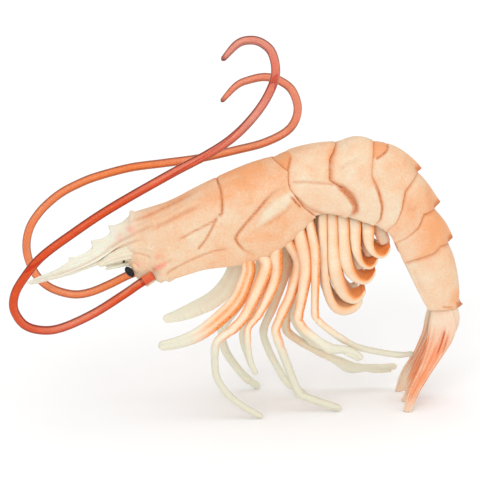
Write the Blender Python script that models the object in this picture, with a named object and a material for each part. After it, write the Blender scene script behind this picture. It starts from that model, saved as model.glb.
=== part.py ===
"""A shrimp figure moulded in soft plastic, standing on its feet and its tail.

The head points toward -X and the tail toward +X, the left side is -Y, and the floor is z = 0.
Sizes below are in millimetres; new_piece() turns them into metres.
"""

import math

import bmesh
import bpy
from mathutils import Vector

MM = 0.001
ORIGIN = Vector((-0.5, 0.9, 0.0))  # the point of the design grid that becomes the world's origin
GAP = 0.3  # clearance between pieces that touch
ROOT_GAP = 0.5  # clearance between a limb and the curved breast plate that it grows from
SHARP_ANGLE = math.radians(50)
LEFT, RIGHT = -1, 1

# Body stations from the head to the tail: the back's (x, z), the lower edge's (x, z), half width.
BODY = [
    (-42.0, 82.5, -34.5, 55.5, 6.2),
    (-30.0, 86.5, -27.0, 57.0, 8.4),
    (-18.0, 92.5, -14.5, 61.0, 10.0),
    (-8.5, 97.0, -1.0, 63.0, 11.2),
    (1.0, 101.0, 11.0, 67.0, 12.0),
    (8.0, 103.2, 21.5, 74.5, 12.4),
    (14.0, 104.5, 30.0, 83.0, 12.5),
    (37.5, 110.0, 41.5, 82.0, 12.5),
    (52.5, 110.5, 52.5, 78.5, 12.0),
    (69.5, 99.0, 57.5, 75.5, 11.0),
    (77.5, 83.5, 61.0, 71.0, 10.0),
    (84.0, 68.0, 65.0, 62.5, 8.8),
    (89.5, 40.8, 75.5, 41.2, 6.8),
]
CARAPACE_END = 6
CARAPACE_RINGS = 10
SEGMENTS = 6

# Half sections, from the back to the belly: part of the half width, part of the height.
SHELL_PROFILE = [
    (0.0, 1.0), (0.2, 0.985), (0.42, 0.94), (0.64, 0.85), (0.82, 0.7), (0.95, 0.52),
    (1.0, 0.34), (0.98, 0.17), (0.9, 0.04), (0.82, 0.0), (0.74, 0.04), (0.52, 0.2), (0.0, 0.24),
]
STERNUM_LOW = 0.03
STERNUM_PROFILE = [(0.0, 0.21), (0.42, 0.17), (0.56, 0.08), (0.54, STERNUM_LOW), (0.0, STERNUM_LOW)]
MOUTH_PROFILE = [(0.0, 0.17), (0.42, 0.13), (0.56, 0.05), (0.5, -0.05), (0.0, -0.06)]
ROSTRUM_PROFILE = [(0.0, 1.0), (0.3, 0.98), (0.45, 0.7), (1.0, 0.36), (0.7, 0.08), (0.0, 0.0)]

# Along each abdominal plate: part of its length, part of the body's section.
PLATE_SWELL = [(0.0, 0.94), (0.12, 0.97), (0.35, 0.995), (0.6, 1.0), (0.82, 1.01), (1.0, 1.02)]
PLATE_HOLLOW = 0.97  # size of the recessed end face behind each plate's lip
PLATE_RISE = [1.6, 0.9, 2.0, 1.2, 1.1, 1.5]  # how far each plate's back arches above a straight run
SPINES = {3: (72.5, 99.0), 4: (80.5, 85.0), 5: (86.0, 70.0), 6: (91.0, 41.6)}

# Rostrum stations: its top (x, z), its bottom (x, z), half width. A tooth is a tip and a notch.
ROSTRUM = [
    (-42.6, 82.4, -37.6, 66.2, 3.6),
    (-43.3, 83.2, -39.5, 66.3, 3.5),
    (-43.8, 81.2, -40.5, 66.3, 3.4),
    (-51.4, 77.0, -49.0, 64.8, 2.8),
    (-51.7, 74.7, -49.8, 64.5, 2.7),
    (-58.9, 71.0, -57.0, 61.4, 2.2),
    (-59.2, 68.0, -57.8, 61.0, 2.1),
    (-67.9, 64.9, -66.5, 57.8, 1.7),
    (-68.2, 62.5, -67.0, 57.6, 1.6),
    (-76.0, 58.6, -76.0, 55.4, 1.2),
    (-84.3, 54.7, -84.3, 53.4, 0.8),
]

LIMB_SIDES = 8
LIMB_STEP = 6.8  # distance between rings along a limb
LIMB_RADII = [1.8, 1.8, 1.65, 1.6, 1.45, 1.35, 1.25]
LIMB_TIP = 0.55  # part of the last radius at the rounded end
ROOT_SPREAD = 5.2  # distance of each root from the middle
ROOT_DROP = 4.0

# Each leg: the body station of its root, and the points that it passes on its way to the tip.
LEGS = {
    ("leg_1", LEFT): (3.85, [(9.5, -11, 61.5), (2, -15, 45), (-9.5, -17.5, 34.5), (-11.5, -17.5, 28),
                             (-10.5, -17, 18.5), (-5.5, -16.5, 10.5), (1.5, -16.2, 4.8), (8, -16, 0.9)]),
    ("leg_2", LEFT): (4.3, [(13, -9, 61.5), (8, -14, 47.5), (2.4, -16, 38.5), (2, -16.5, 31),
                            (3, -16.5, 24.5), (5.5, -16, 19)]),
    ("leg_3", LEFT): (4.78, [(23, -7.5, 63), (18.5, -11.5, 47), (13.8, -13, 37), (16, -12.5, 28),
                             (20, -11.5, 17), (24.5, -11, 9.5), (31, -10.5, 4.6), (40.5, -9.8, 0.9)]),
    ("leg_4", LEFT): (5.27, [(25.5, -11.5, 64), (23.5, -13, 47.5), (22.3, -13.5, 41.5), (24.5, -14, 36.5),
                            (34, -15, 29), (41, -15, 27.5), (47, -15, 25)]),
    ("leg_5", LEFT): (5.77, [(28.9, -13.3, 68.5), (29, -13.5, 57), (29, -13.5, 43), (33.5, -13, 37),
                             (40, -12, 32), (47, -10, 27.5), (56.5, -6, 24.5), (70.5, -1, 20)]),
    ("leg_1", RIGHT): (3.85, [(9, 10, 55.5), (1, 16, 39), (-6, 18.8, 27), (-5, 19.5, 18),
                              (-1, 19.5, 11), (4, 19, 5), (9.5, 18.6, 0.9)]),
    ("leg_2", RIGHT): (4.3, [(12.5, 10, 55.5), (7.5, 14, 40), (2.7, 17, 28), (2.5, 17.5, 21.5),
                             (4.5, 17.5, 15), (6.5, 17, 9.5)]),
    ("leg_3", RIGHT): (4.78, [(19.5, 9, 58), (15, 12, 40), (10.7, 13, 28), (12.5, 12.5, 20),
                              (16, 11, 13), (20.5, 9.5, 5.8), (28, 8.3, 0.9)]),
    ("leg_4", RIGHT): (5.27, [(24.4, 11.3, 63), (23.8, 12.8, 53), (21.5, 14, 38.7), (20, 15, 29),
                              (23, 15.5, 24),
                             (34.5, 16.5, 15), (47.5, 17, 10), (56.5, 17, 8.5), (66.5, 17, 8.5)]),
    ("leg_5", RIGHT): (5.77, [(27.6, 7.6, 61.3), (25, 10.8, 43), (23, 12.5, 33.3), (29.5, 14.5, 23),
                              (35, 15, 19.5), (42, 15, 18), (48, 15, 16)]),
}
# Legs whose hand ends in two fingers: where the second finger starts and ends.
SECOND_FINGERS = {
    ("leg_4", LEFT): [(42.5, -14.6, 27.0), (46.0, -13.4, 28.0), (48.6, -12.9, 27.6)],
    ("leg_4", RIGHT): [(55.5, 16.4, 8.6), (60.0, 14.6, 7.0), (65.0, 14.0, 6.4)],
}
FINGER_RADII = [0.9, 1.05, 0.6]

# Feathery mouth limbs: wide blades that hang forward of the legs.
MAXILLIPEDS = {
    LEFT: (3.35, [(2.5, -10, 59.5), (-1.5, -13, 50.5), (-8, -14.5, 43.5), (-17, -15, 36.5),
                  (-25.5, -15, 33), (-33.5, -14.5, 31.3)], [1.9, 2.7, 3.0, 3.1, 3.0, 2.6, 1.9]),
    RIGHT: (3.35, [(-1, 10, 56), (-4, 12, 48.5), (-9, 14, 42), (-15.5, 15, 38), (-23.5, 15.5, 34.5),
                   (-30.7, 15.5, 32.6)], [1.9, 2.6, 3.4, 3.8, 3.6, 3.0, 1.6]),
}
MAXILLIPED_THICKNESS = [1.9, 1.5, 1.5, 1.5]

# Swimming legs: the (x, z) line of each J-shaped paddle, from the body to its upturned end.
SWIMMERETS = [
    [(32.2, 82.0), (32.2, 71.5), (32.7, 61.0), (34.4, 51.5), (38.0, 44.7), (42.4, 43.0), (46.4, 46.0),
     (48.8, 51.0)],
    [(36.1, 81.4), (36.1, 72.0), (37.0, 62.5), (38.7, 54.6), (41.4, 48.9), (44.0, 47.9), (46.0, 50.2)],
    [(40.4, 81.0), (40.4, 73.0), (41.5, 65.0), (43.5, 59.0), (46.4, 55.1), (49.6, 55.4), (51.9, 59.0)],
    [(45.2, 79.6), (45.2, 73.0), (46.2, 67.0), (48.4, 62.8), (50.6, 62.0), (52.6, 63.6)],
    [(50.5, 78.0), (50.3, 72.5), (51.7, 68.2), (54.5, 65.6), (57.2, 66.4), (58.6, 70.0)],
]
PADDLE_STEP = 4.4
PADDLE_THICKNESS = [1.4, 1.55, 1.5, 1.35, 1.15, 0.85, 0.5]
PADDLE_INNER = [2.4, 1.6, 1.5, 1.5, 1.7, 2.2, 3.0]
PADDLE_OUTER = [8.0, 11.2, 11.5, 11.5, 11.3, 10.8, 9.8]

# Antennae: stiff moulded rods, each divided into lengths that meet end to end.
ANTENNA_RADIUS = 1.6
ANTENNA_TAPER = [1.5, 1.25, 0.7]  # radii of the last rings, at the tip
ANTENNA_STEP = 6.6
ANTENNA_LENGTHS = 4
ANTENNAE = {
    LEFT: [(-36.6, -6.2, 57.4), (-46.5, -7, 51), (-58.5, -8, 43.7), (-70.5, -9, 38.5), (-78.5, -10, 37.5),
           (-86, -10.5, 40), (-90, -11, 46.5), (-90.2, -11.5, 53), (-87.3, -12, 60), (-80, -12.5, 69.5),
           (-67.5, -13, 79), (-51.5, -13, 88.5), (-28, -13, 101.7), (-14.5, -13, 109), (-5, -12.5, 114.5),
           (3, -12, 121.2), (9.5, -11.5, 130), (13, -11, 139.5), (12, -11, 148), (8, -11, 152.6),
           (3, -11, 154), (-2.5, -11, 152.6), (-7.5, -11, 146)],
    RIGHT: [(-36.6, 6.2, 57.8), (-45, 7, 54.5), (-52.5, 7.5, 50.7), (-60.5, 8, 47.7), (-67.5, 9, 46.7),
            (-75.5, 10, 49), (-81, 10.5, 53.5), (-84.5, 11, 60), (-85.5, 11.5, 67), (-84, 12, 74),
            (-80.5, 12.5, 80), (-76, 13, 84.7), (-71, 13, 88.5), (-65, 13, 91.8), (-57.5, 13, 94.9),
            (-43.5, 13, 98.4), (-29.5, 13, 99.9), (-15, 13, 101.6), (-1, 13, 104.2), (11, 12.5, 107.8),
            (20.5, 12, 113), (24, 11.5, 120.5), (22, 11, 128.5), (17, 11, 132.8), (11, 11, 134.6),
            (4.5, 11, 134), (-1, 11, 131.3), (-6.5, 11, 125)],
}

EYE_CENTRE = (-44.6, 7.0, 59.7)
EYE_RADII = (1.5, 1.8, 2.5)
EYE_TILT = math.radians(38)
EYE_SEGMENTS, EYE_RINGS = 12, 7
STALK = [(-37.8, 4.7, 62.4), (-40.0, 5.6, 61.7), (-42.4, 6.4, 60.6)]
STALK_RADII = [1.3, 1.3, 1.2]
SCALE = [(-39.3, 4.9, 67.0), (-45.5, 5.7, 66.0), (-51.0, 5.8, 63.8), (-55.6, 5.5, 61.3)]
SCALE_WIDTHS = [2.2, 2.6, 1.9, 0.6]
SCALE_THICKNESS = 0.75
ANTENNULE = [(-38.6, 2.0, 63.2), (-45.0, 2.4, 62.2), (-54.0, 2.2, 60.0)]
ANTENNULE_RADII = [0.9, 0.8, 0.5]

# Tail fan: each blade's line, its half widths in the body's plane and across it, and its roll.
TAIL_TOP = 40.6
TAIL_BLADES = {
    "telson": (
        [(87.0, 0, TAIL_TOP), (85.5, 0, 32.5), (82.0, 0, 25), (78.0, 0, 18), (72.5, 0, 8.5), (67.6, 0, 0)],
        [2.6, 2.5, 2.3, 2.0, 1.6, 1.1], [2.3, 2.3, 2.1, 1.8, 1.4, 1.0], 0.0,
    ),
    "uropod_inner": (
        [(83.3, 3.4, TAIL_TOP), (82.4, 3.7, 30), (77.5, 4.4, 19.5), (72.3, 5.5, 8.5), (69.2, 6.2, 2.2)],
        [2.4, 3.3, 3.2, 2.4, 1.0], [0.7, 0.75, 0.75, 0.7, 0.5], math.radians(8),
    ),
    "uropod_outer": (
        [(79.8, 5.2, TAIL_TOP), (79.2, 6.4, 29.5), (73.8, 8.8, 18.5), (70.0, 11.0, 8.5), (68.2, 12.2, 0)],
        [3.5, 4.3, 4.2, 3.2, 1.5], [0.75, 0.9, 0.9, 0.8, 0.7], math.radians(10),
    ),
}
TAIL_STEP = 5.0

# Finishes: base colour and roughness.
FINISHES = {
    "peach_plastic": ((0.93, 0.62, 0.42), 0.45),
    "cream_plastic": ((0.86, 0.77, 0.58), 0.5),
    "tail_plastic": ((0.92, 0.48, 0.28), 0.45),
    "red_rod_plastic": ((0.74, 0.12, 0.04), 0.15),
    "orange_rod_plastic": ((0.85, 0.25, 0.06), 0.15),
    "black_gloss": ((0.01, 0.01, 0.01), 0.08),
}


def finish(name):
    """The material of this name, made once from FINISHES."""
    if name in bpy.data.materials:
        return bpy.data.materials[name]
    colour, roughness = FINISHES[name]
    material = bpy.data.materials.new(name)
    material.use_nodes = True
    shader = material.node_tree.nodes["Principled BSDF"]
    shader.inputs["Base Color"].default_value = (*colour, 1.0)
    shader.inputs["Roughness"].default_value = roughness
    return material


def blend_rows(rows, place):
    """The row at this place along a list of rows, on a smooth curve through them all."""
    place = min(max(place, 0.0), len(rows) - 1.0)
    first = min(int(place), len(rows) - 2)
    t = place - first
    before = rows[first - 1] if first > 0 else [2 * a - b for a, b in zip(rows[0], rows[1])]
    start, end = rows[first], rows[first + 1]
    after = rows[first + 2] if first + 2 < len(rows) else [2 * a - b for a, b in zip(end, start)]
    return [
        0.5 * (2 * b + (c - a) * t + (2 * a - 5 * b + 4 * c - d) * t ** 2 + (3 * b - a - 3 * c + d) * t ** 3)
        for a, b, c, d in zip(before, start, end, after)
    ]


def straight_value(values, part):
    """The value at this part, 0 to 1, of a list of evenly spread values joined by straight lines."""
    place = part * (len(values) - 1)
    first = min(int(place), len(values) - 2)
    return values[first] + (values[first + 1] - values[first]) * (place - first)


def even_line(points, step):
    """Points about one step apart along the smooth curve through the given points."""
    samples = [Vector(blend_rows(points, i / 24)) for i in range((len(points) - 1) * 24 + 1)]
    travelled = [0.0]
    for a, b in zip(samples, samples[1:]):
        travelled.append(travelled[-1] + (b - a).length)
    count = max(2, round(travelled[-1] / step))
    line = []
    index = 0
    for i in range(count + 1):
        target = travelled[-1] * i / count
        while index < len(samples) - 2 and travelled[index + 1] < target:
            index += 1
        span = travelled[index + 1] - travelled[index]
        line.append(samples[index].lerp(samples[index + 1], (target - travelled[index]) / span))
    return line


def new_piece(name, mesh_data, finish_name):
    """An object from a bmesh in millimetres, its faces turned outward and shaded smooth."""
    bmesh.ops.recalc_face_normals(mesh_data, faces=mesh_data.faces)
    for vertex in mesh_data.verts:
        vertex.co = (vertex.co - ORIGIN) * MM
    mesh = bpy.data.meshes.new(name)
    mesh_data.to_mesh(mesh)
    mesh_data.free()
    mesh.shade_smooth()
    mesh.set_sharp_from_angle(angle=SHARP_ANGLE)
    mesh.materials.append(finish(finish_name))
    piece = bpy.data.objects.new(name, mesh)
    bpy.context.scene.collection.objects.link(piece)
    return piece


def loft(name, rings, finish_name):
    """A closed solid whose skin runs from ring to ring, with a flat cap at each end."""
    mesh_data = bmesh.new()
    loops = [[mesh_data.verts.new(point) for point in ring] for ring in rings]
    for low, high in zip(loops, loops[1:]):
        for i in range(len(low)):
            j = (i + 1) % len(low)
            mesh_data.faces.new((low[i], low[j], high[j], high[i]))
    mesh_data.faces.new(loops[0])
    mesh_data.faces.new(loops[-1])
    return new_piece(name, mesh_data, finish_name)


def section_ring(top, bottom, half_width, profile, size=1.0, shift=0.0):
    """A closed ring from a half profile, standing between two points of the middle plane."""
    up = top - bottom
    toward_tail = Vector((up.z, 0.0, -up.x)).normalized()
    centre = (top + bottom) / 2 + toward_tail * shift
    half = [(across * half_width * size, (height - 0.5) * size) for across, height in profile]
    ring = [centre + up * rise + Vector((0.0, across, 0.0)) for across, rise in half]
    mirrored = [centre + up * rise - Vector((0.0, across, 0.0)) for across, rise in half[-2:0:-1]]
    return ring + mirrored


def body_ring(station, profile, size=1.0, shift=0.0, rise=0.0):
    """The body's cross-section ring at a station, its back raised by rise."""
    top_x, top_z, low_x, low_z, half_width = blend_rows(BODY, station)
    bottom = Vector((low_x, 0.0, low_z))
    top = Vector((top_x, 0.0, top_z))
    top += (top - bottom).normalized() * rise
    return section_ring(top, bottom, half_width, profile, size, shift)


def build_carapace():
    """The one-piece shell over head and thorax."""
    rings = []
    for i in range(CARAPACE_RINGS + 1):
        part = i / CARAPACE_RINGS
        shift = -GAP / 2 if i == CARAPACE_RINGS else 0.0
        size = 1.0 + 0.02 * part ** 4
        rings.append(body_ring(CARAPACE_END * part, SHELL_PROFILE, size, shift))
    loft("carapace", rings, "peach_plastic")


def build_underside():
    """The breast plate that carries the legs, and the block of mouthparts ahead of it."""
    breast = [body_ring(1.15 + 4.75 * i / 12, STERNUM_PROFILE) for i in range(13)]
    loft("sternum", breast, "cream_plastic")
    mouth = [body_ring(0.1 + 0.95 * i / 4, MOUTH_PROFILE) for i in range(5)]
    loft("mouthparts", mouth, "cream_plastic")


def build_abdomen():
    """Six overlapping plates; four of them end in a spine on the back."""
    for number in range(1, SEGMENTS + 1):
        start = CARAPACE_END + number - 1
        rings = []
        for part, size in PLATE_SWELL:
            shift = {0.0: GAP / 2, 1.0: -GAP / 2}.get(part, 0.0)
            rise = PLATE_RISE[number - 1] * math.sin(math.pi * part)
            rings.append(body_ring(start + part, SHELL_PROFILE, size, shift, rise))
        if number in SPINES:
            spine_x, spine_z = SPINES[number]
            rings[-1][0] = Vector((spine_x, 0.0, spine_z))
        rings.append(body_ring(start + 1, SHELL_PROFILE, PLATE_HOLLOW, -GAP / 2))
        loft(f"abdomen_{number}", rings, "peach_plastic")


def build_rostrum():
    """The toothed blade that reaches forward from the carapace."""
    rings = []
    for top_x, top_z, low_x, low_z, half_width in ROSTRUM:
        top = Vector((top_x, 0.0, top_z))
        bottom = Vector((low_x, 0.0, low_z))
        rings.append(section_ring(top, bottom, half_width, ROSTRUM_PROFILE))
    loft("rostrum", rings, "cream_plastic")


def directions(line):
    """The direction of travel at each point of a line."""
    last = len(line) - 1
    return [(line[min(i + 1, last)] - line[max(i - 1, 0)]).normalized() for i in range(len(line))]


def slide_to(ring, along, plane):
    """Slides each point of a ring along a direction to a plane, which is a point and a normal."""
    place, normal = plane
    return [point + along * ((place - point).dot(normal) / along.dot(normal)) for point in ring]


def rounded_end(ring, centre, along, reach):
    """A smaller ring a little way ahead of the last one, which rounds a tip off."""
    return [centre + (point - centre) * LIMB_TIP + along * reach for point in ring]


def sweep(name, line, in_plane, across, finish_name, sides=LIMB_SIDES, roll=0.0,
          start_plane=None, end_plane=None, round_tip=True, along=None):
    """A rod or blade along a line.

    in_plane and across list its half sizes in the body's plane and sideways, spread evenly along it.
    A start or end plane is one that its end lies flat on, and nothing reaches below the floor.
    """
    along = along or directions(line)
    rings = []
    for i, centre in enumerate(line):
        part = i / (len(line) - 1)
        flat = along[i].cross(Vector((0.0, 1.0, 0.0))).normalized()
        side = flat.cross(along[i])
        turn = roll * math.sin(math.pi * min(part * 1.5, 0.5))
        wide = (flat * math.cos(turn) + side * math.sin(turn)) * straight_value(in_plane, part)
        thin = (side * math.cos(turn) - flat * math.sin(turn)) * straight_value(across, part)
        angles = [2 * math.pi * (k + 0.5) / sides for k in range(sides)]
        rings.append([centre + wide * math.cos(angle) + thin * math.sin(angle) for angle in angles])
    if start_plane:
        rings[0] = slide_to(rings[0], along[0], start_plane)
    if end_plane:
        rings[-1] = slide_to(rings[-1], along[-1], end_plane)
    elif round_tip:
        reach = min(in_plane[-1], across[-1])
        rings.append(rounded_end(rings[-1], line[-1], along[-1], reach))
    for ring in rings:
        for point in ring:
            point.z = max(point.z, 0.0)
    return loft(name, rings, finish_name)


def mirror_points(points, side):
    """The same points on the left or the right; they are given for the right."""
    return [(x, side * y, z) for x, y, z in points]


def side_name(side):
    """The word for a side in an object's name."""
    return "left" if side == LEFT else "right"


def root_on_breast(station, side):
    """Two points straight down from a limb's root on the breast plate, and the plane that it starts on."""
    middle = [(0.0, 1.0), (0.0, STERNUM_LOW)]
    low = body_ring(station, middle)[1]
    behind = body_ring(station + 0.1, middle)[1]
    slope = (behind - low).normalized()
    normal = Vector((slope.z, 0.0, -slope.x))
    start = low + Vector((0.0, side * ROOT_SPREAD, 0.0)) + normal * ROOT_GAP
    return [tuple(start), tuple(start + Vector((0.0, side * 0.6, -ROOT_DROP)))], (start, normal)


def add_second_finger(leg, points, finish_name):
    """Joins a second finger to a leg whose hand can grasp."""
    finger = sweep(leg.name + "_finger", even_line(points, 2.5), FINGER_RADII, FINGER_RADII, finish_name)
    finger.hide_render = True
    finger.display_type = "WIRE"
    joined = leg.modifiers.new("Finger", "BOOLEAN")
    joined.operation = "UNION"
    joined.solver = "EXACT"
    joined.object = finger


def build_legs():
    """Five pairs of walking legs."""
    for (name, side), (station, points) in LEGS.items():
        root, plane = root_on_breast(station, side)
        line = even_line(root + points, LIMB_STEP)
        full_name = f"{name}_{side_name(side)}"
        leg = sweep(full_name, line, LIMB_RADII, LIMB_RADII, "cream_plastic", start_plane=plane)
        if (name, side) in SECOND_FINGERS:
            add_second_finger(leg, SECOND_FINGERS[(name, side)], "cream_plastic")


def build_maxillipeds():
    """The pair of wide mouth limbs that hang below the head."""
    for side, (station, points, widths) in MAXILLIPEDS.items():
        root, plane = root_on_breast(station, side)
        line = even_line(root + points, LIMB_STEP)
        name = f"maxilliped_{side_name(side)}"
        sweep(name, line, widths, MAXILLIPED_THICKNESS, "cream_plastic", start_plane=plane)


def build_swimmerets():
    """Five pairs of J-shaped paddles under the abdomen."""
    for number, route in enumerate(SWIMMERETS, start=1):
        line = even_line([(x, 0.0, z) for x, z in route], PADDLE_STEP)
        for side in (LEFT, RIGHT):
            rings = []
            last = len(line) - 1
            for i, centre in enumerate(line):
                part = i / last
                along = (line[min(i + 1, last)] - line[max(i - 1, 0)]).normalized()
                face = Vector((along.z, 0.0, -along.x)) * straight_value(PADDLE_THICKNESS, part)
                inner = side * straight_value(PADDLE_INNER, part)
                outer = side * straight_value(PADDLE_OUTER, part)
                bevel = (outer - inner) * 0.12
                corners = [(outer, 0.45), (outer - bevel, 1.0), (inner + bevel, 1.0), (inner, 0.45),
                           (inner, -0.45), (inner + bevel, -1.0), (outer - bevel, -1.0), (outer, -0.45)]
                rings.append([centre + face * rise + Vector((0.0, y, 0.0)) for y, rise in corners])
            loft(f"swimmeret_{number}_{side_name(side)}", rings, "cream_plastic")


def build_antennae():
    """Two long rods, each in lengths that meet end to end with a small gap."""
    for side, points in ANTENNAE.items():
        line = even_line(points, ANTENNA_STEP)
        along = directions(line)
        radii = [ANTENNA_RADIUS] * (len(line) - len(ANTENNA_TAPER)) + ANTENNA_TAPER
        colour = "red_rod_plastic" if side == LEFT else "orange_rod_plastic"
        share = (len(line) - 1) / ANTENNA_LENGTHS
        for number in range(ANTENNA_LENGTHS):
            first, last = round(share * number), round(share * (number + 1))
            stretch = [point.copy() for point in line[first:last + 1]]
            if number > 0:
                stretch[0] += along[first] * GAP
            sizes = radii[first:last + 1]
            is_tip = number == ANTENNA_LENGTHS - 1
            name = f"antenna_{side_name(side)}_{number + 1}"
            sweep(name, stretch, sizes, sizes, colour, round_tip=is_tip, along=along[first:last + 1])


def build_head_parts():
    """Eyes on stalks, antennal scales and antennules, a pair of each."""
    for side in (LEFT, RIGHT):
        where = side_name(side)
        mesh_data = bmesh.new()
        bmesh.ops.create_uvsphere(mesh_data, u_segments=EYE_SEGMENTS, v_segments=EYE_RINGS, radius=1.0)
        centre = Vector((EYE_CENTRE[0], side * EYE_CENTRE[1], EYE_CENTRE[2]))
        for vertex in mesh_data.verts:
            x, y, z = (size * value for size, value in zip(EYE_RADII, vertex.co))
            turned_x = x * math.cos(EYE_TILT) - z * math.sin(EYE_TILT)
            turned_z = x * math.sin(EYE_TILT) + z * math.cos(EYE_TILT)
            vertex.co = centre + Vector((turned_x, y, turned_z))
        new_piece(f"eye_{where}", mesh_data, "black_gloss")
        stalk = even_line(mirror_points(STALK, side), 2.0)
        sweep(f"eye_stalk_{where}", stalk, STALK_RADII, STALK_RADII, "cream_plastic", round_tip=False)
        scale = even_line(mirror_points(SCALE, side), 3.0)
        sweep(f"antennal_scale_{where}", scale, SCALE_WIDTHS, [SCALE_THICKNESS] * 2, "cream_plastic")
        antennule = even_line(mirror_points(ANTENNULE, side), 4.0)
        sweep(f"antennule_{where}", antennule, ANTENNULE_RADII, ANTENNULE_RADII, "cream_plastic", sides=6)


def build_tail_fan():
    """The telson and the two pairs of blades beside it; those that reach the floor end flat on it."""
    up = Vector((0.0, 0.0, 1.0))
    top_plane = (Vector((0.0, 0.0, TAIL_TOP)), up)
    floor_plane = (Vector((0.0, 0.0, 0.0)), up)
    for name, (points, widths, thickness, roll) in TAIL_BLADES.items():
        end_plane = floor_plane if points[-1][2] == 0 else None
        for side in (LEFT, RIGHT) if name != "telson" else (RIGHT,):
            line = even_line(mirror_points(points, side), TAIL_STEP)
            full_name = name if name == "telson" else f"{name}_{side_name(side)}"
            sweep(full_name, line, widths, thickness, "tail_plastic", roll=roll * side,
                  start_plane=top_plane, end_plane=end_plane)


def main():
    """Clears the scene and builds every piece."""
    for old in list(bpy.data.objects):
        bpy.data.objects.remove(old, do_unlink=True)
    build_carapace()
    build_underside()
    build_abdomen()
    build_rostrum()
    build_head_parts()
    build_antennae()
    build_maxillipeds()
    build_legs()
    build_swimmerets()
    build_tail_fan()


main()
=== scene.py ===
"""The looks of a shrimp figure moulded in soft plastic, sprayed peach and orange, with two clear red rods.

Lengths are in millimetres on the same grid as the solids; to_world() turns them into the row's metres.
The head points toward -X, the left side is -Y and the figure stands on z = 0.
"""
import logging
import math
from collections.abc import Sequence
from dataclasses import dataclass
from enum import Enum
from typing import ClassVar

import bmesh
import bpy
import numpy as np
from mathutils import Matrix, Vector


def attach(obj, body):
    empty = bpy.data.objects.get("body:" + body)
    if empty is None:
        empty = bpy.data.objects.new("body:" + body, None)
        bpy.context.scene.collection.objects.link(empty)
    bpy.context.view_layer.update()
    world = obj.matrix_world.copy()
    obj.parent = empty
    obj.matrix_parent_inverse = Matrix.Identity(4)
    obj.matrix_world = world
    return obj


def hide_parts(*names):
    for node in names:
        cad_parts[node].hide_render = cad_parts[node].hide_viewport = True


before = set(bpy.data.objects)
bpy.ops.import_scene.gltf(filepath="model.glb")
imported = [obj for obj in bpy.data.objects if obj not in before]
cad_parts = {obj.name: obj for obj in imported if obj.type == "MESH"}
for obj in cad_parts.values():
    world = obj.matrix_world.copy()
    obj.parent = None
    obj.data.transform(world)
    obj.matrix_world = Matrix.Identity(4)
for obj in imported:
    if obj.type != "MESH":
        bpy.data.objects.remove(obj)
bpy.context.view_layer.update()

LOG = logging.getLogger("shrimp_figure")
MM = 0.001
ORIGIN = np.array([-0.5, 0.9, 0.0])
ACROSS = np.array([0.0, 1.0, 0.0])
Array = np.ndarray
Point = tuple[float, float, float]
Colour = tuple[float, float, float]
Outline = Sequence[tuple[float, float]]
Route = Sequence[Point]
Rows = Sequence[tuple[float, ...]]
Sizes = Sequence[float]
Amount = float | Array
Socket = bpy.types.NodeSocket


class Side(Enum):
    """The two sides of the figure, as the sign of Y."""

    LEFT = -1
    RIGHT = 1

    @property
    def word(self) -> str:
        """The side's word in a piece's name."""
        return self.name.lower()


class Slot(Enum):
    """The record's material slots."""

    PEACH = "peach_plastic"
    CREAM = "cream_plastic"
    TAIL = "tail_plastic"
    RED_ROD = "red_rod_plastic"
    ORANGE_ROD = "orange_rod_plastic"
    BLACK = "black_gloss"


# ---- shape helpers

def to_world(points: Array) -> Array:
    """Grid millimetres as metres in the row's frame."""
    return (points - ORIGIN) * MM


def smoothstep(low: float, high: float, values: Array) -> Array:
    """A smooth rise from 0 at low to 1 at high."""
    part = np.clip((values - low) / (high - low), 0.0, 1.0)
    return part * part * (3.0 - 2.0 * part)


def unit(vectors: Array) -> Array:
    """Vectors scaled to length one."""
    return vectors / np.maximum(np.linalg.norm(vectors, axis=-1, keepdims=True), 1e-9)


def smooth_rows(rows: Array, places: Array) -> Array:
    """Rows read at any place along a table, on a smooth curve through them all.

    Args:
        rows: the table, one row of numbers per whole place.
        places: where to read it, from 0 to the last row.

    Returns:
        One row for each place, with the shape of places plus the row's length.
    """
    places = np.clip(places, 0.0, len(rows) - 1.0)
    first = np.minimum(places.astype(int), len(rows) - 2)
    t = (places - first)[..., None]
    padded = np.vstack([2 * rows[0] - rows[1], rows, 2 * rows[-1] - rows[-2]])
    a, b, c, d = (padded[first + k] for k in range(4))
    square, cube = 2 * a - 5 * b + 4 * c - d, 3 * b - a - 3 * c + d
    return 0.5 * (2 * b + (c - a) * t + square * t ** 2 + cube * t ** 3)


def even_line(points: Route, step: float) -> Array:
    """Points about one step apart along the smooth curve through the given points.

    Args:
        points: the given points.
        step: the spacing.

    Returns:
        The evenly spread points.
    """
    table = np.array(points, float)
    dense = smooth_rows(table, np.linspace(0.0, len(table) - 1.0, (len(table) - 1) * 40 + 1))
    travelled = np.concatenate([[0.0], np.cumsum(np.linalg.norm(np.diff(dense, axis=0), axis=1))])
    count = max(2, round(travelled[-1] / step))
    stops = np.linspace(0.0, travelled[-1], count + 1)
    return np.stack([np.interp(stops, travelled, dense[:, k]) for k in range(dense.shape[1])], axis=-1)


def smooth_outline(points: Outline, closed: bool = False) -> Array:
    """A smooth side-view line through the given (x, z) points, closed or open."""
    table = np.array([*points, points[0]] if closed else points, float)
    return smooth_rows(table, np.linspace(0.0, len(table) - 1.0, (len(table) - 1) * 6 + 1))


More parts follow.
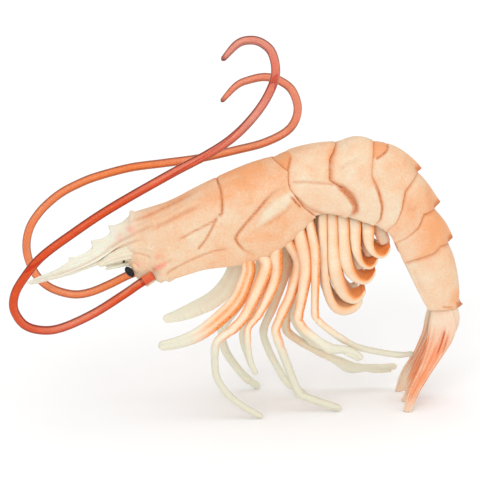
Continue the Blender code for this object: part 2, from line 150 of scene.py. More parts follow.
def line_distance(xz: Array, line: Array) -> tuple[Array, Array]:
    """How far side-view points are from a line, and how far along it, 0 to 1, the nearest place is.

    Args:
        xz: side-view points, in an array whose last axis is (x, z).
        line: the line's points.

    Returns:
        The distances and the parts along the line.
    """
    best = np.full(xz.shape[:-1], np.inf)
    part = np.zeros(xz.shape[:-1])
    for k, (start, end) in enumerate(zip(line, line[1:])):
        run = end - start
        t = np.clip(((xz - start) @ run) / max(run @ run, 1e-9), 0.0, 1.0)
        gap = np.linalg.norm(xz - start - t[..., None] * run, axis=-1)
        nearer = gap < best
        best = np.where(nearer, gap, best)
        part = np.where(nearer, (k + t) / (len(line) - 1), part)
    return best, part


def signed_distance(xz: Array, outline: Array) -> Array:
    """How far side-view points lie inside a closed outline; outside it is negative.

    Args:
        xz: side-view points, in an array whose last axis is (x, z).
        outline: the outline's points, with the first repeated at the end.

    Returns:
        The distances.
    """
    gap, _ = line_distance(xz, outline)
    inside = np.zeros(xz.shape[:-1], bool)
    for (x0, z0), (x1, z1) in zip(outline, outline[1:]):
        if z0 == z1:
            continue
        crosses = (z0 > xz[..., 1]) != (z1 > xz[..., 1])
        inside ^= crosses & (xz[..., 0] < (x1 - x0) * (xz[..., 1] - z0) / (z1 - z0) + x0)
    return np.where(inside, gap, -gap)


def ring_normals(rings: Array) -> Array:
    """Outward normals of a skin made of rings.

    Args:
        rings: the skin.

    Returns:
        A normal for each of its points.
    """
    along = np.gradient(rings, axis=0)
    around = np.roll(rings, -1, axis=1) - np.roll(rings, 1, axis=1)
    normals = unit(np.cross(around, along))
    outward = rings - rings.mean(axis=1, keepdims=True)
    return normals if (normals * outward).sum() > 0 else -normals


def raised(rings: Array, height: Array) -> Array:
    """A skin with each point moved out along its normal by a height."""
    return rings + ring_normals(rings) * height[..., None]


def coat(rings: Array, blush: Amount = 0.0, wash: Amount = 0.0, pale: Amount = 0.0,
         touch: Amount = 0.0) -> Array:
    """Paint for a skin: the four amounts, each a number or an array, spread over its points."""
    amounts = (blush, wash, pale, touch)
    return np.stack([np.broadcast_to(amount, rings.shape[:-1]) for amount in amounts], axis=-1)


# ---- relief and paint

@dataclass(frozen=True)
class Groove:
    """A moulded line in the side view: a groove, or a ridge where its depth is negative.

    Attributes:
        points: the line's (x, z) points.
        depth: how deep it is cut.
        width: the distance at which it has faded by two thirds.
        wash: how much orange paint has settled in it.
        fade: the share of its length over which each end dies away.
        wash_width: the paint's width, or 0 for the groove's own.
    """

    points: Outline
    depth: float
    width: float
    wash: float = 0.0
    fade: float = 0.12
    wash_width: float = 0.0
    # How faint its ends get, and how strong its paint is.
    faintest: ClassVar[float] = 0.15
    wash_strength: ClassVar[float] = 1.35

    def mark(self, xz: Array) -> tuple[Array, Array]:
        """Its effect on side-view points.

        Args:
            xz: the points, in an array whose last axis is (x, z).

        Returns:
            The height and the wash that it gives to each.
        """
        gap, part = line_distance(xz, smooth_outline(self.points))
        ends = smoothstep(0.0, self.fade, part) * smoothstep(0.0, self.fade, 1.0 - part)
        ends = np.maximum(ends, self.faintest)
        height = -self.depth * ends * np.exp(-(gap / self.width) ** 2)
        spread = np.exp(-(gap / (self.wash_width or self.width)) ** 2)
        return height, np.minimum(self.wash_strength * self.wash * ends * spread, 1.0)


@dataclass(frozen=True)
class Lobe:
    """An area raised, or lowered, above the shell round it.

    Attributes:
        points: the closed outline's (x, z) points.
        height: how much it rises.
        soft: the width of its sloping edge.
        blush: peach paint added on it; negative leaves it paler.
        wash: orange paint on it.
        touch: touched-in pink paint on it.
    """

    points: Outline
    height: float
    soft: float
    blush: float = 0.0
    wash: float = 0.0
    touch: float = 0.0

    def mark(self, xz: Array) -> Array:
        """How much of the lobe each side-view point has, 0 to 1."""
        inside = signed_distance(xz, smooth_outline(self.points, closed=True))
        return smoothstep(-self.soft * 0.3, self.soft, inside)


@dataclass(frozen=True)
class Spray:
    """A burst of the airbrush at a side-view place; a negative amount leaves the plastic barer."""

    x: float
    z: float
    reach: float
    amount: float

    def mark(self, xz: Array) -> Array:
        """The peach paint that it gives to side-view points."""
        gap = ((xz - np.array([self.x, self.z])) ** 2).sum(axis=-1)
        return self.amount * np.exp(-gap / self.reach ** 2)


@dataclass(frozen=True)
class Relief:
    """All that is moulded into one shell, and painted on it, over a base blush."""

    grooves: Sequence[Groove] = ()
    lobes: Sequence[Lobe] = ()
    sprays: Sequence[Spray] = ()
    base_blush: float = 0.5

    def apply(self, rings: Array) -> tuple[Array, Array]:
        """Moulds the relief into a skin.

        Args:
            rings: the plain skin.

        Returns:
            The moulded skin, and its paint as (blush, wash, pale, touch) for each point.
        """
        xz = rings[..., [0, 2]]
        height, wash, touch = (np.zeros(xz.shape[:-1]) for _ in range(3))
        blush = np.full(xz.shape[:-1], self.base_blush)
        for lobe in self.lobes:
            share = lobe.mark(xz)
            height += lobe.height * share
            blush += lobe.blush * share
            wash += lobe.wash * share
            touch += lobe.touch * share
        for groove in self.grooves:
            low, stain = groove.mark(xz)
            height += low
            wash = np.maximum(wash, stain)
        for spray in self.sprays:
            blush += spray.mark(xz)
        return raised(rings, height), np.clip(coat(rings, blush, wash, 0.0, touch), 0.0, 1.0)


# ---- finishes

@dataclass(frozen=True)
class Mottle:
    """An uneven value over a surface.

    Attributes:
        fineness: the noise's scale per metre.
        detail: its octaves.
        low: the value in its troughs.
        high: the value on its crests.
    """

    fineness: float
    detail: float
    low: float
    high: float


@dataclass(frozen=True)
class Grain:
    """A fine uneven height: the noise's scale per metre, its octaves and its height in metres."""

    fineness: float
    detail: float
    height: float


class Nodes:
    """A material's node tree, with short ways to add and join nodes."""

    def __init__(self, name: str) -> None:
        """Makes an empty material with an output and a Principled shader.

        Args:
            name: the material's name.
        """
        self.material = bpy.data.materials.new(name)
        self.material.use_nodes = True
        self.tree = self.material.node_tree
        self.shader = self.tree.nodes["Principled BSDF"]

    def add(self, kind: str, **settings: object) -> bpy.types.Node:
        """Adds a node.

        Args:
            kind: its type.
            **settings: its properties.

        Returns:
            The node.
        """
        node = self.tree.nodes.new(kind)
        for key, value in settings.items():
            setattr(node, key, value)
        return node

    def join(self, source: Socket, target: Socket) -> None:
        """Links two sockets."""
        self.tree.links.new(source, target)

    def feed(self, socket: Socket, value: object) -> None:
        """Gives a socket its input.

        Args:
            socket: the socket.
            value: another socket, a number or a colour.
        """
        if isinstance(value, Socket):
            self.join(value, socket)
        else:
            socket.default_value = (*value, 1.0) if isinstance(value, tuple) else value

    def settle(self, values: dict[str, object]) -> None:
        """Gives the shader its inputs, each a socket, a number or a colour."""
        for name, value in values.items():
            self.feed(self.shader.inputs[name], value)

    def number(self, operation: str, a: object, b: object, clamp: bool = False) -> Socket:
        """Works out a number.

        Args:
            operation: the sum.
            a: its first input, a number or a socket.
            b: its second input.
            clamp: whether the result is kept between 0 and 1.

        Returns:
            The result.
        """
        node = self.add("ShaderNodeMath", operation=operation, use_clamp=clamp)
        self.feed(node.inputs[0], a)
        self.feed(node.inputs[1], b)
        return node.outputs[0]

    def mix(self, share: Socket, a: object, b: object) -> Socket:
        """Mixes two colours.

        Args:
            share: the second one's share.
            a: the first, a colour or a socket.
            b: the second.

        Returns:
            The mixed colour.
        """
        node = self.add("ShaderNodeMix", data_type="RGBA")
        for place, value in ((0, share), (6, a), (7, b)):
            self.feed(node.inputs[place], value)
        return node.outputs[2]

    def noise(self, fineness: float, detail: float) -> Socket:
        """A noise over the piece's own space.

        Args:
            fineness: its scale per metre.
            detail: its octaves.

        Returns:
            A value from 0 to 1.
        """
        place = self.add("ShaderNodeTexCoord")
        texture = self.add("ShaderNodeTexNoise")
        texture.inputs["Scale"].default_value = fineness
        texture.inputs["Detail"].default_value = detail
        self.join(place.outputs["Object"], texture.inputs["Vector"])
        return texture.outputs["Fac"]

    def mottle(self, kind: Mottle) -> Socket:
        """An uneven value over the piece.

        Args:
            kind: how uneven.

        Returns:
            The value.
        """
        node = self.add("ShaderNodeMapRange")
        node.inputs["To Min"].default_value = kind.low
        node.inputs["To Max"].default_value = kind.high
        self.join(self.noise(kind.fineness, kind.detail), node.inputs["Value"])
        return node.outputs["Result"]

    def bump(self, grain: Grain, before: Socket | None = None) -> Socket:
        """Makes a surface uneven.

        Args:
            grain: how uneven.
            before: an earlier normal that it adds to.

        Returns:
            The normal.
        """
        node = self.add("ShaderNodeBump")
        node.inputs["Distance"].default_value = grain.height
        self.join(self.noise(grain.fineness, grain.detail), node.inputs["Height"])
        if before is not None:
            self.join(before, node.inputs["Normal"])
        return node.outputs["Normal"]

    def paint(self) -> list[Socket]:
        """The paint that coat() gave the mesh.

        Returns:
            Its four amounts.
        """
        attribute = self.add("ShaderNodeAttribute", attribute_name="paint")
        parts = self.add("ShaderNodeSeparateColor")
        self.join(attribute.outputs["Color"], parts.inputs["Color"])
        return [*parts.outputs, attribute.outputs["Alpha"]]


@dataclass(frozen=True)
class SprayedPlastic:
    """Cream soft plastic, airbrushed peach and washed with orange, with a satin skin.

    The mesh's paint gives the peach, the wash, the bare plastic and the touched-in colour.

    Attributes:
        name: the material's name.
        cream: the plastic.
        peach: the airbrushed paint.
        orange: the wash in the grooves.
        pale: the bare plastic.
        touch: the touched-in colour; in the cream finish a dull grey, which also paints shade on the limbs'
            ends.
        cloud: broad patches in the peach.
        mist: the airbrush's droplets.
        worn: how the bare plastic varies.
        pooled: how the wash's edge varies.
        fleck: the fineness and octaves of dried specks of wash, and the noise above which they show.
        fleck_from: the wash above which specks form.
        fleck_dark: their share of the wash's colour.
        satin: the roughness.
        grain: the skin's fine grain.
        dents: the moulding's shallow dents.
        glow: how much light scatters under the skin, and how far in metres.
        shine: the specular level.
    """

    name: str
    cream: Colour = (0.75, 0.635, 0.46)
    peach: Colour = (0.775, 0.345, 0.145)
    orange: Colour = (0.60, 0.18, 0.045)
    pale: Colour = (0.79, 0.80, 0.67)
    touch: Colour = (0.86, 0.33, 0.25)
    cloud: Mottle = Mottle(150.0, 5.0, -0.5, 0.5)
    mist: Mottle = Mottle(1500.0, 3.0, -0.48, 0.48)
    worn: Mottle = Mottle(420.0, 4.0, 0.7, 1.3)
    pooled: Mottle = Mottle(800.0, 4.0, 0.5, 1.4)
    fleck: tuple[float, float, float] = (1500.0, 2.0, 0.56)
    fleck_from: float = 0.55
    fleck_dark: float = 0.25
    satin: Mottle = Mottle(320.0, 3.0, 0.35, 0.52)
    grain: Grain = Grain(1500.0, 4.0, 0.0001)
    dents: Grain = Grain(260.0, 4.0, 0.0005)
    glow: tuple[float, float] = (0.18, 0.0016)
    shine: float = 0.4

    def colour(self, nodes: Nodes) -> Socket:
        """Layers the paints over the plastic.

        Args:
            nodes: the material's nodes.

        Returns:
            The surface's colour.
        """
        blush, wash, pale, touch = nodes.paint()
        uneven = nodes.number("ADD", blush, nodes.mottle(self.cloud))
        peach_share = nodes.number("ADD", uneven, nodes.mottle(self.mist), clamp=True)
        colour = nodes.mix(peach_share, self.cream, self.peach)
        bare_share = nodes.number("MULTIPLY", pale, nodes.mottle(self.worn), clamp=True)
        colour = nodes.mix(bare_share, colour, self.pale)
        colour = nodes.mix(touch, colour, self.touch)
        wash_share = nodes.number("MULTIPLY", wash, nodes.mottle(self.pooled), clamp=True)
        colour = nodes.mix(wash_share, colour, self.orange)
        fineness, detail, above = self.fleck
        fleck = nodes.number("GREATER_THAN", nodes.noise(fineness, detail), above)
        thick = nodes.number("SUBTRACT", wash, self.fleck_from, clamp=True)
        dark = tuple(value * self.fleck_dark for value in self.orange)
        return nodes.mix(nodes.number("MULTIPLY", fleck, thick), colour, dark)

    def material(self) -> bpy.types.Material:
        """Mixes the finish.

        Returns:
            The material.
        """
        nodes = Nodes(self.name)
        glow, depth = self.glow
        nodes.settle({
            "Base Color": self.colour(nodes), "Roughness": nodes.mottle(self.satin),
            "Normal": nodes.bump(self.dents, nodes.bump(self.grain)), "Subsurface Weight": glow,
            "Subsurface Scale": depth, "Specular IOR Level": self.shine,
        })
        nodes.shader.inputs["Subsurface Radius"].default_value = (1.0, 0.45, 0.25)
        return nodes.material


@dataclass(frozen=True)
class RodPlastic:
    """Clear tinted plastic of an antenna.

    The mesh's paint gives its share of the tip's tint, the painted shade on its edges and underside, and the
    painted highlight strips on its upper side.

    Attributes:
        name: the material's name.
        tint: the plastic at the root.
        tip_tint: the plastic at the tip.
        streak_and_edge_shade_tint: the dark streaks, and the painted shade on the edges and underside.
        highlight_tint: the painted highlight strips.
        cloud: how the tip's tint varies.
        strip: how the painted highlight strips vary.
        streaks: dark streaks in the plastic.
        gloss: the roughness.
        ripple: the surface's slight unevenness.
        clearness: the share of light that it lets through.
        bending: its index of refraction.
        shine: the specular level.
    """

    name: str
    tint: Colour
    tip_tint: Colour
    streak_and_edge_shade_tint: Colour
    highlight_tint: Colour
    cloud: Mottle = Mottle(60.0, 3.0, -0.15, 0.15)
    strip: Mottle = Mottle(200.0, 3.0, 0.5, 1.3)
    streaks: Mottle = Mottle(240.0, 3.0, -0.12, 0.3)
    gloss: Mottle = Mottle(240.0, 2.0, 0.10, 0.20)
    ripple: Grain = Grain(420.0, 3.0, 0.00008)
    clearness: float = 0.8
    bending: float = 1.3
    shine: float = 0.6

    def colour(self, nodes: Nodes) -> Socket:
        """Fades and streaks the tint, and lays on the painted highlight strips and the painted shade of the
        edges and underside.

        Args:
            nodes: the material's nodes.

        Returns:
            The plastic's colour.
        """
        tip, edge, light, _ = nodes.paint()
        tip_share = nodes.number("ADD", tip, nodes.mottle(self.cloud), clamp=True)
        colour = nodes.mix(tip_share, self.tint, self.tip_tint)
        # painted highlight: a lighter strip along the rod's upper side
        strip = nodes.number("MULTIPLY", light, nodes.mottle(self.strip), clamp=True)
        colour = nodes.mix(strip, colour, self.highlight_tint)
        # painted shade on the edges and underside, together with the real dark streaks in the plastic
        dark = nodes.number("MAXIMUM", nodes.mottle(self.streaks), edge, clamp=True)
        return nodes.mix(dark, colour, self.streak_and_edge_shade_tint)

    def material(self) -> bpy.types.Material:
        """Mixes the finish.

        Returns:
            The material.
        """
        nodes = Nodes(self.name)
        nodes.settle({
            "Base Color": self.colour(nodes), "Roughness": nodes.mottle(self.gloss),
            "Normal": nodes.bump(self.ripple), "Transmission Weight": self.clearness,
            "IOR": self.bending, "Specular IOR Level": self.shine,
        })
        return nodes.material


@dataclass(frozen=True)
class GlossPaint:
    """A brushed coat of black gloss paint, a little thinner in places."""

    name: str
    colour: Colour = (0.006, 0.006, 0.006)
    thin_colour: Colour = (0.024, 0.024, 0.024)
    thinness: Mottle = Mottle(700.0, 3.0, 0.0, 0.3)
    gloss: Mottle = Mottle(500.0, 2.0, 0.05, 0.14)
    brush_marks: Grain = Grain(700.0, 3.0, 0.00003)
    shine: float = 0.22

    def material(self) -> bpy.types.Material:
        """Mixes the finish.

        Returns:
            The material.
        """
        nodes = Nodes(self.name)
        nodes.settle({
            "Base Color": nodes.mix(nodes.mottle(self.thinness), self.colour, self.thin_colour),
            "Roughness": nodes.mottle(self.gloss), "Normal": nodes.bump(self.brush_marks),
            "Specular IOR Level": self.shine,
        })
        return nodes.material


@dataclass(frozen=True)
class StudioPaper:
    """The pale matt floor."""

    name: str
    colour: Colour = (0.97, 0.97, 0.97)
    roughness: float = 0.9

    def material(self) -> bpy.types.Material:
        """Mixes the finish.

        Returns:
            The material.
        """
        nodes = Nodes(self.name)
        nodes.settle({"Base Color": self.colour, "Roughness": self.roughness, "Specular IOR Level": 0.0})
        return nodes.material


# ---- the bench

class Bench:
    """Makes meshes, dresses them and fixes them to the frame."""

    def __init__(self) -> None:
        """Mixes the finishes, one for each slot."""
        finishes = {
            Slot.PEACH: SprayedPlastic("sprayed_shell"),
            # the cream finish's touched-in dull grey is also painted shade on the limbs' ends
            Slot.CREAM: SprayedPlastic(
                "washed_limb", cream=(0.80, 0.68, 0.50), peach=(0.90, 0.43, 0.175),
                orange=(0.93, 0.29, 0.06), pale=(0.80, 0.79, 0.64), touch=(0.66, 0.63, 0.50)),
            Slot.TAIL: SprayedPlastic(
                "sprayed_tail", cream=(0.73, 0.59, 0.43), peach=(0.80, 0.285, 0.12),
                orange=(0.68, 0.15, 0.04), touch=(0.64, 0.085, 0.022)),
            # The rods' edge tints paint shade on their edges and undersides, and their light tints paint a
            # highlight along their upper sides.
            Slot.RED_ROD: RodPlastic(
                "red_rod", tint=(0.80, 0.085, 0.009), tip_tint=(0.86, 0.32, 0.24),
                streak_and_edge_shade_tint=(0.16, 0.012, 0.006), highlight_tint=(0.97, 0.42, 0.26)),
            Slot.ORANGE_ROD: RodPlastic(
                "orange_rod", tint=(0.93, 0.235, 0.052), tip_tint=(0.90, 0.30, 0.19),
                streak_and_edge_shade_tint=(0.26, 0.05, 0.02), highlight_tint=(0.98, 0.50, 0.28)),
            Slot.BLACK: GlossPaint("eye_gloss"),
        }
        self.materials = {slot: finish.material() for slot, finish in finishes.items()}

    def skin(self, name: str, rings: Array, paint: Array, slot: Slot,
             stands_for: list[str]) -> bpy.types.Object:
        """Makes one closed piece from rings, dresses it and fixes it to the frame.

        Args:
            name: the piece's name.
            rings: ring points in millimetres, with a shape of (rings, points round, 3).
            paint: (blush, wash, pale, touch) for each point.
            slot: the record's slot, which also chooses the finish.
            stands_for: the solids that it takes the place of.

        Returns:
            The new object.
        """
        rows, around, _ = rings.shape
        here = np.arange(rows * around).reshape(rows, around)
        beside = np.roll(here, -1, axis=1)
        sides = np.stack([here[:-1], beside[:-1], beside[1:], here[1:]], axis=-1).reshape(-1, 4)
        faces = sides.tolist() + [here[0][::-1].tolist(), here[-1].tolist()]
        mesh = bpy.data.meshes.new(name)
        mesh.from_pydata(to_world(rings.reshape(-1, 3)).tolist(), [], faces)
        self.turn_outward(mesh)
        colours = np.clip(paint, 0.0, 1.0).reshape(-1, 4).astype(np.float32)
        layer = mesh.attributes.new("paint", "FLOAT_COLOR", "POINT")
        layer.data.foreach_set("color", colours.ravel())
        mesh.shade_smooth()
        return self.fix(bpy.data.objects.new(name, mesh), slot, stands_for)

    @staticmethod
    def turn_outward(mesh: bpy.types.Mesh) -> None:
        """Turns a closed mesh's faces outward.

        Args:
            mesh: the mesh, which it changes.
        """
        shape = bmesh.new()
        shape.from_mesh(mesh)
        if shape.calc_volume(signed=True) < 0:
            bmesh.ops.reverse_faces(shape, faces=shape.faces)
            shape.to_mesh(mesh)
        shape.free()

    def fix(self, piece: bpy.types.Object, slot: Slot, stands_for: list[str]) -> bpy.types.Object:
        """Gives a piece its finish, its slot and its place on the frame.

        Args:
            piece: the piece.
            slot: the record's slot, which also chooses the finish.
            stands_for: the solids that it takes the place of.

        Returns:
            The same piece.
        """
        piece.data.materials.append(self.materials[slot])
        bpy.context.scene.collection.objects.link(piece)
        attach(piece, "root")
        if stands_for:
            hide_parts(*stands_for)
        LOG.info("%s: %d faces, for %s", piece.name, len(piece.data.polygons), ", ".join(stands_for) or "-")
        return piece


# ---- body shells

@dataclass
class BodyForm:
    """The body's sections from the head to the tail.

    Attributes:
        stations: rows of the back's (x, z), the lower edge's (x, z) and the half width.
        shell: the half outline from the back to the belly, as parts of the half width and the height.
        shell_edge: which of its points is the lower edge.
        outside_points: how many points its outside is read at.
        inside_points: how many its inside is read at.
    """

    stations: Rows = (
        (-42, 82.5, -34.5, 55.5, 6.2), (-30, 86.5, -27, 57, 8.4), (-18, 92.5, -14.5, 61, 10),
        (-8.5, 97, -1, 63, 11.2), (1, 101, 11, 67, 12), (8, 103.2, 21.5, 74.5, 12.4),
        (14, 104.5, 30, 83, 12.5), (37.5, 110, 41.5, 82, 12.5), (52.5, 110.5, 52.5, 78.5, 12),
        (69.5, 99, 57.5, 75.5, 11), (77.5, 83.5, 61, 71, 10), (84, 68, 65, 62.5, 8.8),
        (89.5, 40.8, 75.5, 41.2, 6.8),
    )
    shell: Rows = (
        (0, 1), (0.2, 0.985), (0.42, 0.94), (0.64, 0.85), (0.82, 0.7), (0.95, 0.52),
        (1, 0.34), (1, 0.17), (0.95, 0.04), (0.88, 0), (0.8, 0.04), (0.56, 0.2), (0, 0.24),
    )
    shell_edge: int = 9
    outside_points: int = 84
    inside_points: int = 12

    def half_outline(self, points: Rows, lowest: int) -> Array:
        """A half outline read closely on its outside and loosely on its inside.

        Args:
            points: the outline's own points.
            lowest: which of them is the lower edge.

        Returns:
            Its (width, height) pairs from the back to the belly.
        """
        outer = np.linspace(0.0, lowest, self.outside_points)
        inner = np.linspace(lowest, len(points) - 1.0, self.inside_points + 1)[1:]
        return smooth_rows(np.array(points, float), np.concatenate([outer, inner]))

    def shell_outline(self) -> Array:
        """The whole ring outline that the carapace and the plates share."""
        return self.ring_outline(self.half_outline(self.shell, self.shell_edge))

    def ring_outline(self, half: Array) -> Array:
        """A whole ring outline from a half: the left side goes down, and the right side comes back up."""
        left = half * np.array([-1.0, 1.0])
        return np.vstack([left, half[-2:0:-1]])

    def place(self, station: Array, outline: Array, size: Amount = 1.0, rise: Amount = 0.0) -> Array:
        """Points on the body's surface.

        Args:
            station: each point's station.
            outline: each point's (part of the half width, part of the height).
            size: a scale about the section's middle.
            rise: how much the back is lifted.

        Returns:
            The points, in millimetres.
        """
        row = smooth_rows(np.array(self.stations, float), station)
        upright = unit(row[..., 0:2] - row[..., 2:4])
        top = row[..., 0:2] + upright * np.asarray(rise)[..., None]
        height = (0.5 + (outline[..., 1] - 0.5) * size)[..., None]
        side_view = row[..., 2:4] + (top - row[..., 2:4]) * height
        y = outline[..., 0] * row[..., 4] * size
        return np.stack([side_view[..., 0], y, side_view[..., 1]], axis=-1)


@dataclass(frozen=True)
class Seam:
    """The line where one plate overlaps the next.

    Attributes:
        bends: rows of a part of the body's height, and how far the seam leads its station there.
        blur: over how many fine steps to each side it is smoothed.
    """

    bends: Rows
    blur: int = 6

    def offset(self, height: Array) -> Array:
        """How far the smoothed seam leads its station.

        Args:
            height: parts of the body's height.

        Returns:
            The leads, in stations.
        """
        table = np.array(sorted(self.bends), float)
        fine = np.linspace(-0.2, 1.2, 281)
        values = np.interp(fine, table[:, 0], table[:, 1])
        kernel = np.exp(-np.linspace(-2.0, 2.0, 2 * self.blur + 1) ** 2)
        padded = np.pad(values, self.blur, mode="edge")
        return np.interp(height, fine, np.convolve(padded, kernel / kernel.sum(), mode="valid"))


# The station of the carapace's rear edge; each plate's own edge is one station on.
FIRST_SEAM = 6
SEAMS = {
    FIRST_SEAM: Seam(((1, -0.12), (0.9, -0.02), (0.8, 0.06), (0.62, -0.18), (0.55, -0.24), (0.22, -0.27),
                      (0, -0.1))),
    7: Seam(((1, 0), (0.85, -0.19), (0.56, -0.3), (0.48, -0.16), (0.32, 0.14), (0.19, 0.3), (0.08, 0.19),
             (0, -0.06))),
    8: Seam(((1, 0), (0.8, -0.08), (0.62, -0.13), (0.51, 0.03), (0.28, 0.29), (0.11, 0.28),
             (0, -0.05))),
    9: Seam(((1, 0.08), (0.66, -0.1), (0.54, -0.04), (0.42, 0.07), (0.2, 0.16), (0, -0.05))),
    10: Seam(((1, 0.05), (0.74, -0.14), (0.53, 0.06), (0.21, 0.12), (0, 0.02))),
    11: Seam(((1, -0.03), (0.81, -0.08), (0.64, 0), (0.17, 0), (0, 0.02))),
    12: Seam(((1, 0), (0, 0))),
}


